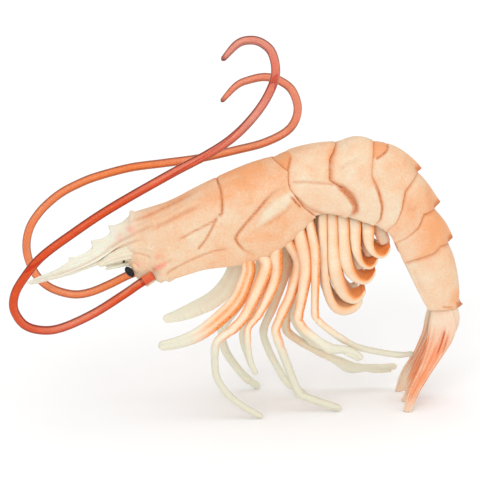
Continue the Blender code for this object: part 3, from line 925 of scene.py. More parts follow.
@dataclass
class HeadShell:
    """The carapace and the toothed rostrum, moulded in one.

    Attributes:
        form: the body's sections.
        step: the spacing of the rostrum's rings.
        rear_rings: how many rings the carapace has.
        flare: how much its rear edge widens.
        keel: the height of the keel behind the rostrum.
        rostrum: rows of the crest's (x, z), the blade's own top, its lower edge, and the half width.
        blade: the rostrum's half outline, from its top to its middle underneath.
        blade_edge: which of those points is the lower edge.
        relief: what is moulded and painted on it.
    """

    form: BodyForm
    step: float = 0.4
    rear_rings: int = 150
    flare: float = 0.02
    keel: float = 0.5
    rostrum: Rows = (
        (-85.1, 54.7, -85.1, 54.7, -85, 54.1, 0.3), (-83.5, 55.6, -83.5, 55.6, -83.2, 53.6, 0.75),
        (-77.8, 57.8, -77.8, 57.8, -77.5, 55, 1.15), (-72.5, 60.3, -72.5, 60.3, -72, 56.3, 1.4),
        (-68.6, 62.9, -68.6, 62.7, -67.3, 57.5, 1.6), (-68.5, 64.8, -68.2, 62.9, -66.9, 57.7, 1.65),
        (-65.4, 64.9, -65.4, 64.4, -64, 58.8, 1.8), (-61.1, 66.8, -61.1, 66.4, -60, 60.3, 2),
        (-58.7, 69.4, -58.8, 68, -58, 61, 2.15), (-59.6, 71.4, -58.5, 68.3, -57.6, 61.2, 2.2),
        (-54.9, 72.3, -54.9, 71.5, -54, 62.6, 2.45), (-52.9, 73.4, -52.9, 72.8, -51.8, 63.6, 2.6),
        (-51.7, 75.2, -51.5, 74, -50.4, 64.2, 2.7), (-52.5, 77.5, -51.2, 74.4, -49.9, 64.4, 2.8),
        (-49.7, 77.7, -49.6, 76.6, -48.2, 64.7, 3.2), (-46.9, 78.8, -46.8, 78.2, -46.2, 64, 3.9),
        (-44.3, 81.3, -44.3, 80.4, -44.6, 62.6, 4.9), (-43.9, 83.5, -43.6, 81.2, -44, 61.4, 5.4),
        (-42.9, 83.6, -42.9, 82, -42.9, 59.2, 5.8), (-42.7, 83.5, -42.7, 82.1, -41.6, 56.8, 6),
        (-42.5, 83.4, -42.5, 82.2, -39.8, 54.6, 6.2), (-42.2, 83.2, -42.2, 82.3, -37.4, 53, 6.3),
        (-42, 83, -42, 82.5, -34.5, 55, 6.3),
    )
    blade: Rows = (
        (0, 1), (0.16, 0.985), (0.26, 0.9), (0.34, 0.76), (0.5, 0.6), (0.92, 0.43), (1, 0.36),
        (0.9, 0.24), (0.7, 0.1), (0.4, 0.01), (0.2, 0), (0.1, 0.01), (0, 0.02),
    )
    blade_edge: int = 10
    relief: Relief = Relief(
        base_blush=0.5,
        grooves=[
            Groove([(-10.2, 98.2), (-9.3, 96.2), (-8, 91.9), (-7.8, 84.8), (-9.3, 83.2)],
                   0.5, 0.5, 0.95, 0.06, 0.42),
            Groove([(-9.3, 83.2), (-14.1, 74.1), (-17.7, 69.5)], 0.38, 0.5, 0.75, 0.1, 0.4),
            Groove([(-9.3, 83.2), (-11.7, 80.8), (-19.2, 76.8), (-26.3, 72.6)], 0.35, 0.5, 0.55, 0.15, 0.4),
            Groove([(17.7, 95.3), (11.8, 92.1), (5.9, 85.5), (0.8, 79.5), (-2.2, 75.4), (-2.2, 73.3),
                    (0.8, 69.6), (4.8, 67.3)], 0.5, 0.65, 0.8, 0.25, 0.55),
            Groove([(-30, 58.2), (-28.4, 60.5), (-22.5, 64), (-16.5, 67), (-10.6, 69.2), (-3.5, 70.4)],
                   0.35, 0.5, 0.5, 0.15, 0.4),
            Groove([(-36.5, 78), (-32, 80.6), (-25.7, 84), (-20.5, 87.2), (-12.5, 91.2)],
                   -0.35, 0.9, 0, 0.3),
            Groove([(-45, 79), (-36, 82.6), (-26, 87.4), (-14, 93.4)], 0.3, 0.8, 0.45, 0.3, 0.7),
            Groove([(-37, 76.2), (-31, 79.3), (-22, 84.2), (-13, 88.7)], 0.3, 0.7, 0.35, 0.3),
            Groove([(-84, 55.2), (-76, 57.8), (-66, 62), (-57, 66.9), (-48, 73.2), (-40, 78),
                    (-31, 82.2)], -0.55, 0.55),
            Groove([(-78, 56), (-66, 60.6), (-57, 65.2), (-48.5, 71.4), (-40, 76.2), (-33, 79.4)],
                   0.4, 0.45, 0.22),
            Groove([(-80, 55.2), (-70, 58.4), (-60, 62.6), (-53, 66.6), (-47, 71), (-40, 74.4)],
                   -0.55, 0.5),
            Groove([(-70, 57.8), (-60, 61.4), (-54, 64.6), (-49.5, 68.4), (-44, 71.6), (-38, 73)],
                   0.4, 0.45, 0.22),
            Groove([(-58, 61.8), (-52, 64.8), (-48.5, 67.4), (-44, 69.2), (-38, 69.6), (-33, 68.4)],
                   -0.45, 0.5),
            Groove([(-49, 65.6), (-45, 67.2), (-40, 67.4), (-35.5, 65.6)], 0.28, 0.45, 0.35),
            Groove([(-36.6, 60.4), (-32, 62.8), (-26, 66.4)], 0.2, 0.5, 0.25, 0.3),
            Groove([(20.6, 90.4), (17.3, 85.6), (12.1, 81.8), (5.7, 77.8)], 0.2, 0.6, 0.28, 0.3),
            Groove([(18.6, 92), (21.2, 88.9), (23.6, 86.4)], 0.35, 0.5, 0.85, 0.25, 0.5),
        ],
        lobes=[
            Lobe([(4.9, 79.6), (8.3, 85.6), (13.6, 90.9), (18.8, 93.2), (20.6, 91), (17.1, 86.3),
                  (11.9, 82.4), (6.5, 78.9)], 0.5, 1.9, -0.62),
            Lobe([(-35.4, 61.6), (-33.5, 63.4), (-30.4, 64.4), (-29.4, 63.2), (-31.4, 61.4), (-34.4, 60.2)],
                 0.6, 1, 0, 0, 0.8),
            Lobe([(-43.6, 62.6), (-42, 64.2), (-39.8, 63.6), (-40.2, 61.6), (-42.4, 61.2)],
                 0.15, 1, 0, 0, 0.6),
            Lobe([(-50, 72), (-48.5, 75.5), (-46.5, 74), (-47.5, 71)], 0.15, 2, 0, 0, 0.4),
            Lobe([(-46.5, 76.5), (-44, 78.5), (-41, 77), (-43.5, 74.5)], 0.1, 1.6, 0, 0, 0.45),
            Lobe([(-36, 66.5), (-33, 68.2), (-30.5, 67), (-33.5, 64.6)], 0.1, 1.8, 0.2, 0, 0.3),
            Lobe([(-1, 74.4), (6, 83.5), (12.5, 90.3), (21, 90), (27, 83), (20, 73.5),
                  (10, 66), (2.5, 69)], 0.45, 2.2, 0.06),
        ],
        sprays=[
            Spray(-30, 86, 10, 0.12), Spray(-2, 98, 9, 0.35), Spray(8, 100, 9, 0.3),
            Spray(12, 76, 10, 0.12), Spray(-14, 78, 6, -0.15), Spray(-2, 84, 6, -0.12),
            Spray(-22, 72, 8, -0.12), Spray(-38, 70, 8, -0.15),
            Spray(-36, 56.5, 4.5, -0.5), Spray(-9, 92, 6, 0.12),
        ],
    )

    def front(self, shell: Array) -> Array:
        """The rings from the rostrum's tip back to the carapace's front margin.

        Args:
            shell: the carapace's ring outline.

        Returns:
            The rings, with the teeth drawn up from the crest.
        """
        table = np.array(self.rostrum, float)
        pieces = [table[:1]]
        for start, end in zip(table, table[1:]):
            steps = max(3, round(np.linalg.norm((end - start)[4:6]) / self.step))
            pieces.append(start + (end - start) * np.linspace(0.0, 1.0, steps + 1)[1:, None])
        rows = np.vstack(pieces)
        blade = self.blade_outline()
        share = self.shell_share(rows[:, 2])[:, None, None]
        outline = blade + (shell - blade) * share
        low, top, crest = rows[:, None, 4:6], rows[:, None, 2:4], rows[:, None, 0:2]
        lift = smoothstep(0.8, 1.0, outline[..., 1:2])
        side_view = low + (top - low) * outline[..., 1:2] + (crest - top) * lift
        width = outline[..., :1] * rows[:, None, 6:7]
        return np.concatenate([side_view[..., :1], width, side_view[..., 1:]], axis=-1)

    def blade_outline(self) -> Array:
        """The rostrum's whole ring outline."""
        return self.form.ring_outline(self.form.half_outline(self.blade, self.blade_edge))

    def shell_share(self, x: Array) -> Array:
        """How much of the carapace's own outline a ring has, from its back's x."""
        return smoothstep(-53.0, -36.0, x)

    def rear(self, shell: Array) -> Array:
        """The carapace's rings from its front margin to the lip of its rear edge.

        Args:
            shell: the carapace's ring outline.

        Returns:
            The rings.
        """
        lead = SEAMS[FIRST_SEAM].offset(shell[:, 1])
        parts = np.linspace(0.0, 1.0, self.rear_rings)[1:, None]
        stations = parts * (FIRST_SEAM + lead * smoothstep(0.55, 1.0, parts))
        size = 1.0 + self.flare * parts ** 4
        blade = self.blade_outline()
        x = smooth_rows(np.array(self.form.stations, float), stations[:, 0])[:, 0]
        outline = blade + (shell - blade) * self.shell_share(x)[:, None, None]
        back = smoothstep(0.8, 1.0, shell[:, 1])
        rings = self.form.place(stations, outline, np.broadcast_to(size, stations.shape))
        rings[..., 2] += self.keel * (1.0 - smoothstep(-42.0, -20.0, x))[:, None] * back
        return np.concatenate([rings, lip(self.form, shell, stations[-1], size[-1, 0])])

    def bare_share(self, rings: Array) -> Array:
        """How bare the plastic is: fully on the rostrum, and a little low on the face.

        Args:
            rings: the skin.

        Returns:
            The pale share of each point.
        """
        x, z = rings[..., 0], rings[..., 2]
        rostrum = 1.0 - smoothstep(-56.0, -38.0, x - 0.35 * (z - 70.0))
        face = 0.15 * smoothstep(-33.0, -41.0, x) * smoothstep(66.0, 60.0, z)
        return np.maximum(rostrum, face)

    def build(self, bench: Bench) -> None:
        """Builds the shell.

        Args:
            bench: where it is made.
        """
        shell = self.form.shell_outline()
        rings = np.concatenate([self.front(shell), self.rear(shell)])
        rings, paint = self.relief.apply(rings)
        paint[..., 2] = self.bare_share(rings)
        bench.skin("carapace_skin", rings, paint, Slot.PEACH, ["carapace", "rostrum"])


# How a rear edge turns inward: each ring's step, in stations, and how much smaller it is than the edge.
LIP_STEPS = ((0.012, 0.008), (0.014, 0.022), (0.0, 0.05))


def lip(form: BodyForm, outline: Array, stations: Array, size: float) -> Array:
    """The rings that turn a rear edge inward, from the edge's station and size at each point."""
    return np.array([form.place(stations + ahead, outline, np.full(stations.shape, size - less))
                     for ahead, less in LIP_STEPS])


@dataclass(frozen=True)
class AbdomenPlate:
    """One ring of the abdomen, from under the plate ahead to its own rear lip.

    Attributes:
        number: its number from the front.
        rise: how far its back arches up.
        relief: its moulded lines and sprays.
        spine: the (x, z) of its rear spine's tip, or none.
        spine_reach: the share of the plate that the spine draws out.
        tuck: how far it runs on under the plate ahead, as a share of its length.
        rows: how many rings it has.
        bare: how pale its lower edge is.
        seam_wash: rows of a part of the height, and the orange wash under the front seam there.
        rim_wash: the same for its rear rim.
        swell: rows of a part along it, and its size there, ahead of its rear edge.
        rear_size: its size at the rear edge.
        lip_pull: how far each ring of the lip follows the spine.
    """

    number: int
    rise: float
    relief: Relief
    spine: tuple[float, float] | None = None
    spine_reach: float = 0.85
    tuck: float = 0.16
    rows: int = 72
    bare: float = 0.15
    seam_wash: Rows = ((0.0, 0.8), (1.0, 0.8))
    rim_wash: Rows = ((0.0, 0.2), (1.0, 0.2))
    swell: Rows = ((-0.16, 0.95), (-0.02, 0.972), (0.06, 0.985), (0.4, 0.998), (0.8, 1.008))
    rear_size: float = 1.018
    lip_pull: Sizes = (0.93, 0.75, 0.35)

    def build(self, form: BodyForm, bench: Bench) -> None:
        """Builds the plate.

        Args:
            form: the body's sections.
            bench: where it is made.
        """
        outline = form.shell_outline()
        shown = np.linspace(0.0, 1.0, self.rows) * (1.0 + self.tuck) - self.tuck
        rings = self.shell(form, outline, shown)
        shown = np.concatenate([shown, np.ones(len(LIP_STEPS))])
        if self.spine:
            rings = self.pull_spine(rings, shown)
        rings, paint = self.relief.apply(rings)
        self.stain_edges(paint, shown, outline)
        paint[..., 2] = self.bare * (1.0 - smoothstep(0.3, 0.75, outline[:, 1]))
        if self.spine:
            self.redden_spine(paint, shown, outline)
        bench.skin(f"abdomen_{self.number}_skin", rings, paint, Slot.PEACH, [f"abdomen_{self.number}"])

    def shell(self, form: BodyForm, outline: Array, shown: Array) -> Array:
        """The plain plate.

        Args:
            form: the body's sections.
            outline: the ring outline.
            shown: each ring's part along the uncovered length; below 0 it is under the plate ahead.

        Returns:
            Its rings, with those of the lip.
        """
        start = self.number + FIRST_SEAM - 1
        front = start + SEAMS[start].offset(outline[:, 1])
        rear = start + 1 + SEAMS[start + 1].offset(outline[:, 1])
        part = shown[:, None]
        stations = np.clip(front + (rear - front) * part, 0.0, len(form.stations) - 1.0)
        table = np.array([*self.swell, (1.0, self.rear_size)])
        size = np.broadcast_to(np.interp(part, table[:, 0], table[:, 1]), stations.shape)
        rise = np.broadcast_to(self.rise * np.sin(math.pi * np.clip(part, 0.0, 1.0)), stations.shape)
        rings = form.place(stations, np.broadcast_to(outline, (*stations.shape, 2)), size, rise)
        return np.concatenate([rings, lip(form, outline, stations[-1], self.rear_size)])

    def pull_spine(self, rings: Array, shown: Array) -> Array:
        """Draws the back out, more and more toward its rear, to the spine's tip.

        Args:
            rings: the plate's skin.
            shown: each ring's part along the uncovered length.

        Returns:
            The skin with its keel and spine.
        """
        tip = np.array([self.spine[0], 0.0, self.spine[1]])
        edge = len(rings) - len(LIP_STEPS) - 1
        along = np.clip((shown - 1.0 + self.spine_reach) / self.spine_reach, 0.0, 1.0) ** 1.9
        width = (4.2 - 3.1 * smoothstep(0.35, 1.0, shown))[:, None]
        across = np.exp(-(np.abs(rings[..., 1]) / width) ** 1.5) * (rings[..., 2] > rings[:, :1, 2] - 8.0)
        along[edge + 1:] *= self.lip_pull
        return rings + (tip - rings[edge, 0]) * (along[:, None] * across)[..., None]

    def stain_edges(self, paint: Array, shown: Array, outline: Array) -> None:
        """Leaves orange wash under the front seam and on the rear rim, with a mist of peach beside them.

        Args:
            paint: the plate's paint, which it changes.
            shown: each ring's part along the uncovered length.
            outline: the ring outline.
        """
        part, height = shown[:, None], outline[:, 1]
        seam, rim = (np.interp(height, *np.array(rows).T) for rows in (self.seam_wash, self.rim_wash))
        outside = smoothstep(0.0, 0.06, height)
        reach = 0.025 + 0.055 * seam ** 2
        front_wash = seam * np.exp(-((part - 0.005) / reach) ** 2)
        rear_wash = rim * smoothstep(1.0 - 0.11 * rim, 1.0 - 0.03 * rim, part)
        paint[..., 1] = np.maximum(paint[..., 1], np.maximum(front_wash, rear_wash) * outside)
        mist = 0.3 * seam * np.exp(-(part / 0.09) ** 2) + 0.2 * smoothstep(0.88, 1.0, part)
        paint[..., 0] = np.clip(paint[..., 0] + mist * outside, 0.0, 1.0)

    def redden_spine(self, paint: Array, shown: Array, outline: Array) -> None:
        """Washes the spine's tip with orange, in the plate's paint."""
        rear, back = smoothstep(0.82, 0.98, shown), smoothstep(0.965, 0.995, outline[:, 1])
        paint[..., 1] = np.maximum(paint[..., 1], 0.95 * rear[:, None] * back)


@dataclass
class Abdomen:
    """The six overlapping plates."""

    form: BodyForm
    plates: Sequence[AbdomenPlate] = (
        AbdomenPlate(1, 1.6, Relief(
            base_blush=0.38,
            grooves=[
                Groove([(19.6, 106), (18.6, 103.5), (17.9, 100.6)], 0.35, 0.5, 0.6),
                Groove([(18.6, 96.8), (25, 96.9), (31.4, 96.4), (36.9, 95.7)], 0.3, 0.5, 0.35),
                Groove([(19.5, 92.5), (25.9, 86.6), (33.6, 83.2), (40.5, 82.6)], 0.3, 0.6, 0.4),
            ],
            lobes=[
                Lobe([(18.5, 96.3), (25, 96.6), (31.4, 96.2), (36.9, 95.5), (42.1, 91.1), (43.6, 86.5),
                      (40.7, 83.2), (33.6, 84), (25.9, 87.3), (18.8, 93.2)], 0.55, 1.3, 0.06),
                Lobe([(12, 106), (19.6, 107), (18.2, 100.4), (15, 101.8)], -0.25, 0.8, 0.4, 0.12),
            ],
            sprays=[Spray(20, 105, 5, 0.2), Spray(35, 106, 4, 0.25),
                    Spray(24, 99, 5, -0.1)]),
            seam_wash=((0, 0.9), (0.3, 1), (0.5, 0.75), (0.62, 1), (1, 0.8)),
            rim_wash=((0, 0.1), (0.1, 0.6), (0.25, 0.9), (0.42, 0.9), (0.5, 0.1), (1, 0.2))),
        AbdomenPlate(2, 0.9, Relief(
            base_blush=0.36,
            grooves=[
                Groove([(36.7, 95.9), (40.2, 93.9), (42.9, 91.2), (44.6, 88), (44.9, 85.2), (43, 82.6)],
                       0.6, 0.9, 0.62, 0.15, 1.25),
                Groove([(37.7, 100.6), (39.1, 102), (41.3, 103.5), (45.3, 105), (49.3, 105.4)], 0.3, 0.8,
                       0.12, 0.3),
                Groove([(38, 99.2), (40, 100.8), (43.5, 102.4), (47.5, 103.2)], -0.3, 1.2, 0, 0.3),
            ],
            lobes=[Lobe([(43.5, 95), (50, 96), (54.5, 90), (55.5, 85), (53, 80.5), (47, 80),
                         (45, 86)], 0.4, 1.5, -0.06)],
            sprays=[Spray(51, 103, 5, 0.18), Spray(44, 107, 5, -0.12)]),
            seam_wash=((0, 0.5), (0.3, 0.9), (0.5, 1), (0.9, 1), (1, 0.7)),
            rim_wash=((0, 0.3), (0.1, 0.8), (0.35, 0.85), (0.55, 0.6), (0.65, 0.1), (1, 0.2))),
        AbdomenPlate(3, 2, Relief(
            base_blush=0.42,
            grooves=[
                Groove([(58.8, 109.4), (57.7, 107.6), (55.5, 106.2), (52.7, 104.7)], 0.4, 0.5, 0.8, 0.1, 0.5),
            ],
            lobes=[
                Lobe([(50.5, 111.5), (59, 110.5), (57.5, 107.6), (52.5, 105), (51, 107)], -0.15, 0.6,
                     0.45, 0.1),
                Lobe([(56.5, 92), (62, 92), (63, 84), (60, 78), (54.5, 77), (56, 84)],
                     0.35, 1.5, -0.1),
            ],
            sprays=[Spray(66, 102, 7, 0.22), Spray(58, 86, 6, -0.06)]), (72.5, 99),
            seam_wash=((0, 0.8), (0.15, 1), (0.45, 1), (0.6, 0.6), (1, 0.7))),
        AbdomenPlate(4, 1.2, Relief(
            base_blush=0.55,
            grooves=[Groove([(64.5, 86), (67.5, 84.5), (70.5, 85.5)], 0.2, 1, 0.2, 0.3)],
            lobes=[Lobe([(64, 85), (69.5, 84), (69.5, 77.5), (65, 73.5), (60, 73), (61.5, 79.5)],
                        0.3, 1.5, 0.05)],
            sprays=[Spray(77, 88, 6, 0.3), Spray(69, 84.5, 5, 0.22), Spray(63, 78, 5, 0.1)]),
            (80.5, 85),
            seam_wash=((0, 0.5), (0.3, 0.8), (0.55, 1), (0.8, 0.8), (1, 0.5))),
        AbdomenPlate(5, 1.1, Relief(
            base_blush=0.7,
            sprays=[Spray(79, 73, 8, 0.4), Spray(66, 68, 5, -0.2)]), (86, 70),
            seam_wash=((0, 0.6), (0.5, 0.9), (0.75, 1), (1, 0.6))),
        AbdomenPlate(6, 1.5, Relief(
            base_blush=0.4,
            grooves=[
                Groove([(81, 42.9), (83.2, 42.3), (86.4, 41.9)], 0.2, 0.5, 0.5, 0.2, 0.5),
                Groove([(68, 61.5), (71, 54), (76.5, 44)], 0.15, 0.8, 0.1, 0.3),
            ],
            lobes=[Lobe([(87, 43.8), (91.4, 43.8), (91.6, 40), (88.2, 40.2)], 0, 0.8, 0, 0.9)],
            sprays=[Spray(88.5, 46, 4, 0.5), Spray(84, 62, 5, 0.15), Spray(72, 52, 6, -0.1)]),
            (91, 41.6), 0.14, rear_size=0.965),
    )

    def build(self, bench: Bench) -> None:
        """Builds every plate."""
        for plate in self.plates:
            plate.build(self.form, bench)


# ---- limbs and rods

def boxy_circle(count: int, square: float) -> Array:
    """Points round a circle of radius one, pushed out toward a square.

    Args:
        count: how many.
        square: how boxy it is, from 1 for a true circle.

    Returns:
        Their (in-plane, across) places.
    """
    angles = 2.0 * math.pi * np.arange(count) / count
    lean = np.stack([np.cos(angles), np.sin(angles)], axis=-1)
    return np.sign(lean) * np.abs(lean) ** (1.0 / square)


@dataclass
class Skin:
    """A swept skin.

    Attributes:
        rings: its rings of points.
        part: each ring's part along the line.
        lean: the (in-plane, across) place of each point round a ring.
    """

    rings: Array
    part: Array
    lean: Array

    def along(self, low: float, high: float) -> Array:
        """A smooth rise along the line, for each ring."""
        return smoothstep(low, high, self.part)[:, None]

    def edge(self, low: float, high: float) -> Array:
        """A smooth rise toward the two edges, for each point round a ring."""
        return smoothstep(low, high, np.abs(self.lean[:, 0]))

    def lift(self, height: Array) -> None:
        """Moves its points out by a height."""
        self.rings = raised(self.rings, height)

    def land(self) -> None:
        """Cuts it flat at the ground."""
        self.rings[..., 2] = np.maximum(self.rings[..., 2], 0.0)


@dataclass
class Sweep:
    """A rod or blade along a line.

    Attributes:
        line: the middle line's points, evenly spread.
        wide: half sizes in the body's plane, spread evenly along the line.
        thin: half sizes across the body's plane.
        sides: points round each ring.
        roll: the blade's turn about its line, in radians, reached over its first part.
        square: above 1, how boxy the section is.
        blunt: whether the tip is rounded off.
        rounding: the rounded tip's length, as a multiple of its half size.
    """

    line: Array
    wide: Sizes
    thin: Sizes
    sides: int = 20
    roll: float = 0.0
    square: float = 1.0
    blunt: bool = True
    rounding: ClassVar[float] = 1.3

    def skin(self) -> Skin:
        """The swept skin.

        Returns:
            The skin.
        """
        line = self.line
        travelled = np.concatenate([[0.0], np.cumsum(np.linalg.norm(np.diff(line, axis=0), axis=1))])
        part = travelled / travelled[-1]
        wide, thin = self.spread(self.wide, part), self.spread(self.thin, part)
        if self.blunt:
            left = np.clip((travelled[-1] - travelled) / (self.rounding * min(wide[-1], thin[-1])), 0.0, 1.0)
            close = np.sqrt(np.maximum(1.0 - (1.0 - left) ** 2, 0.03))
            wide, thin = wide * close, thin * close
        along = unit(np.gradient(line, axis=0))
        flat = unit(np.cross(along, ACROSS))
        side = np.cross(flat, along)
        turn = (self.roll * smoothstep(0.0, 0.4, part))[:, None]
        first = flat * np.cos(turn) + side * np.sin(turn)
        second = side * np.cos(turn) - flat * np.sin(turn)
        lean = boxy_circle(self.sides, self.square)
        rings = (line[:, None] + first[:, None] * (wide[:, None] * lean[:, 0])[..., None]
                 + second[:, None] * (thin[:, None] * lean[:, 1])[..., None])
        return Skin(rings, part, lean)

    @staticmethod
    def spread(sizes: Sizes, part: Array) -> Array:
        """Sizes read smoothly along the line.

        Args:
            sizes: the sizes, evenly spread along it.
            part: the parts along it to read.

        Returns:
            The size at each.
        """
        if len(sizes) == 1:
            return np.full(part.shape, sizes[0])
        return smooth_rows(np.array(sizes, float)[:, None], part * (len(sizes) - 1))[:, 0]


def with_tip(line: Array, reach: float) -> Array:
    """The same line with closer points over its last stretch, so that a round tip stays round.

    Args:
        line: the line.
        reach: the stretch's length.

    Returns:
        The line with its new points.
    """
    run = line[-1] - line[-2]
    extra = [line[-1] - unit(run) * reach * part for part in (0.8, 0.5, 0.25, 0.1, 0.03)]
    keep = np.linalg.norm(line - line[-1], axis=1) > reach * 1.05
    return np.vstack([line[keep], extra, line[-1:]])


def mirrored(points: Route, side: Side) -> Route:
    """Points given for the right side, on the side asked for."""
    return [(x, side.value * y, z) for x, y, z in points]


def limb_root(form: BodyForm, station: float, side: Side, spread: float = 5.2) -> Route:
    """A limb's first points, from inside the breast plate down past it.

    Args:
        form: the body's sections.
        station: where it leaves the body.
        side: its side.
        spread: how far from the middle plane it starts.

    Returns:
        Three points.
    """
    x, _, z = form.place(np.array([station]), np.array([[0.0, 0.06]]))[0]
    points = [(x, spread, z + 4.0), (x, spread + 2.6, z + 1.0), (x - 0.2, spread + 4.0, z - 2.2)]
    return mirrored(points, side)


@dataclass(frozen=True)
class Leg:
    """One walking leg.

    Attributes:
        name: its pair's name.
        side: its side.
        station: where it leaves the body.
        stout: its stoutness from the root to past its middle, and from there to its tip.
        painted: where along it the paint begins to fade, and where it ends.
        route: its middle line's points below the root.
        palm: how far its palm stands out, or 0 without one.
        finger: its second finger's middle line, or nothing.
    """

    name: str
    side: Side
    station: float
    stout: tuple[float, float]
    painted: tuple[float, float]
    route: Route
    palm: float = 0.0
    finger: Route = ()
    # A leg's usual radii, from its root to its tip, and a finger's.
    radii: ClassVar[Sizes] = (2.0, 2.5, 2.2, 1.8, 1.6, 1.5, 1.35)
    finger_radii: ClassVar[Sizes] = (0.9, 1.05, 0.6)

    @property
    def full_name(self) -> str:
        """The name of the solid that it stands for."""
        return f"{self.name}_{self.side.word}"

    @property
    def tint(self) -> float:
        """The strength of its paint: the right legs are paler."""
        return 1.0 if self.side is Side.LEFT else 0.55

    @property
    def painted_end_shade(self) -> float:
        """How much painted shade, in the finish's dull grey, darkens its bare end; the left legs, on the lit
        side, get more.
        """
        return 0.85 if self.side is Side.LEFT else 0.25

    def build(self, form: BodyForm, bench: Bench) -> None:
        """Builds the leg, and its second finger where it has one.

        Args:
            form: the body's sections.
            bench: where it is made.
        """
        line = with_tip(even_line([*limb_root(form, self.station, self.side), *self.route], 0.55), 1.4)
        root, far = self.stout
        shares = np.interp(range(7), [0, 2, 4, 6], [root, root, far, far])
        radii = [radius * share for radius, share in zip(self.radii, shares)]
        skin = Sweep(line, radii, radii, 22).skin()
        self.swell_knuckles(skin, line)
        if self.palm:
            self.swell_palm(skin)
        paint = self.wash(skin)
        skin.land()
        bench.skin(f"{self.full_name}_skin", skin.rings, paint, Slot.CREAM, [self.full_name])
        if self.finger:
            self.build_finger(bench)

    def build_finger(self, bench: Bench) -> None:
        """Builds the second finger.

        Args:
            bench: where it is made.
        """
        line = with_tip(even_line(self.finger, 0.5), 0.6)
        rings = Sweep(line, self.finger_radii, self.finger_radii, 14).skin().rings
        # the finger's end gets the same painted shade as its leg's end
        bench.skin(f"{self.full_name}_finger", rings, coat(rings, pale=0.9, touch=self.painted_end_shade), Slot.CREAM, [])

    def swell_knuckles(self, skin: Skin, line: Array) -> None:
        """Swells each joint a little, with a crease on its far side.

        Args:
            skin: the leg's skin, which it changes.
            line: the leg's middle line.
        """
        centre = skin.rings.mean(axis=1, keepdims=True)
        scale = np.ones(len(skin.part))
        for point in self.route[2:-1:3]:
            past = skin.part - skin.part[np.linalg.norm(line - np.array(point), axis=1).argmin()]
            scale += 0.1 * np.exp(-(past / 0.018) ** 2) - 0.09 * np.exp(-((past - 0.03) / 0.008) ** 2)
        skin.rings = centre + (skin.rings - centre) * scale[:, None, None]

    def swell_palm(self, skin: Skin) -> None:
        """Swells the lower side of a hand, ahead of its fingers.

        Args:
            skin: the leg's skin, which it changes.
        """
        past = (skin.part - 0.81)[:, None]
        under = smoothstep(-0.2, 1.0, -ring_normals(skin.rings)[..., 2])
        below = 1.6 * np.exp(-(past / 0.045) ** 2) * under
        skin.lift(self.palm * (below + 0.5 * np.exp(-(past / 0.06) ** 2)))

    def wash(self, skin: Skin) -> Array:
        """Orange on the rear edge, peach above, pale toward the tip, and painted shade darkening the end.

        Args:
            skin: the leg's skin.

        Returns:
            The paint.
        """
        normals = ring_normals(skin.rings)
        upper = 1.0 - skin.along(*self.painted)
        root = 1.0 - skin.along(0.2, 0.5)
        rear = normals[..., 0] * 0.86 - normals[..., 2] * 0.5
        edges = np.maximum(smoothstep(0.0, 0.6, rear), 0.5 * smoothstep(0.6, 0.95, -rear))
        return coat(skin.rings, (0.3 * upper + 0.25 * root) * self.tint, edges * upper * self.tint,
                    1.0 - 0.75 * upper, (1.0 - upper) * self.painted_end_shade)


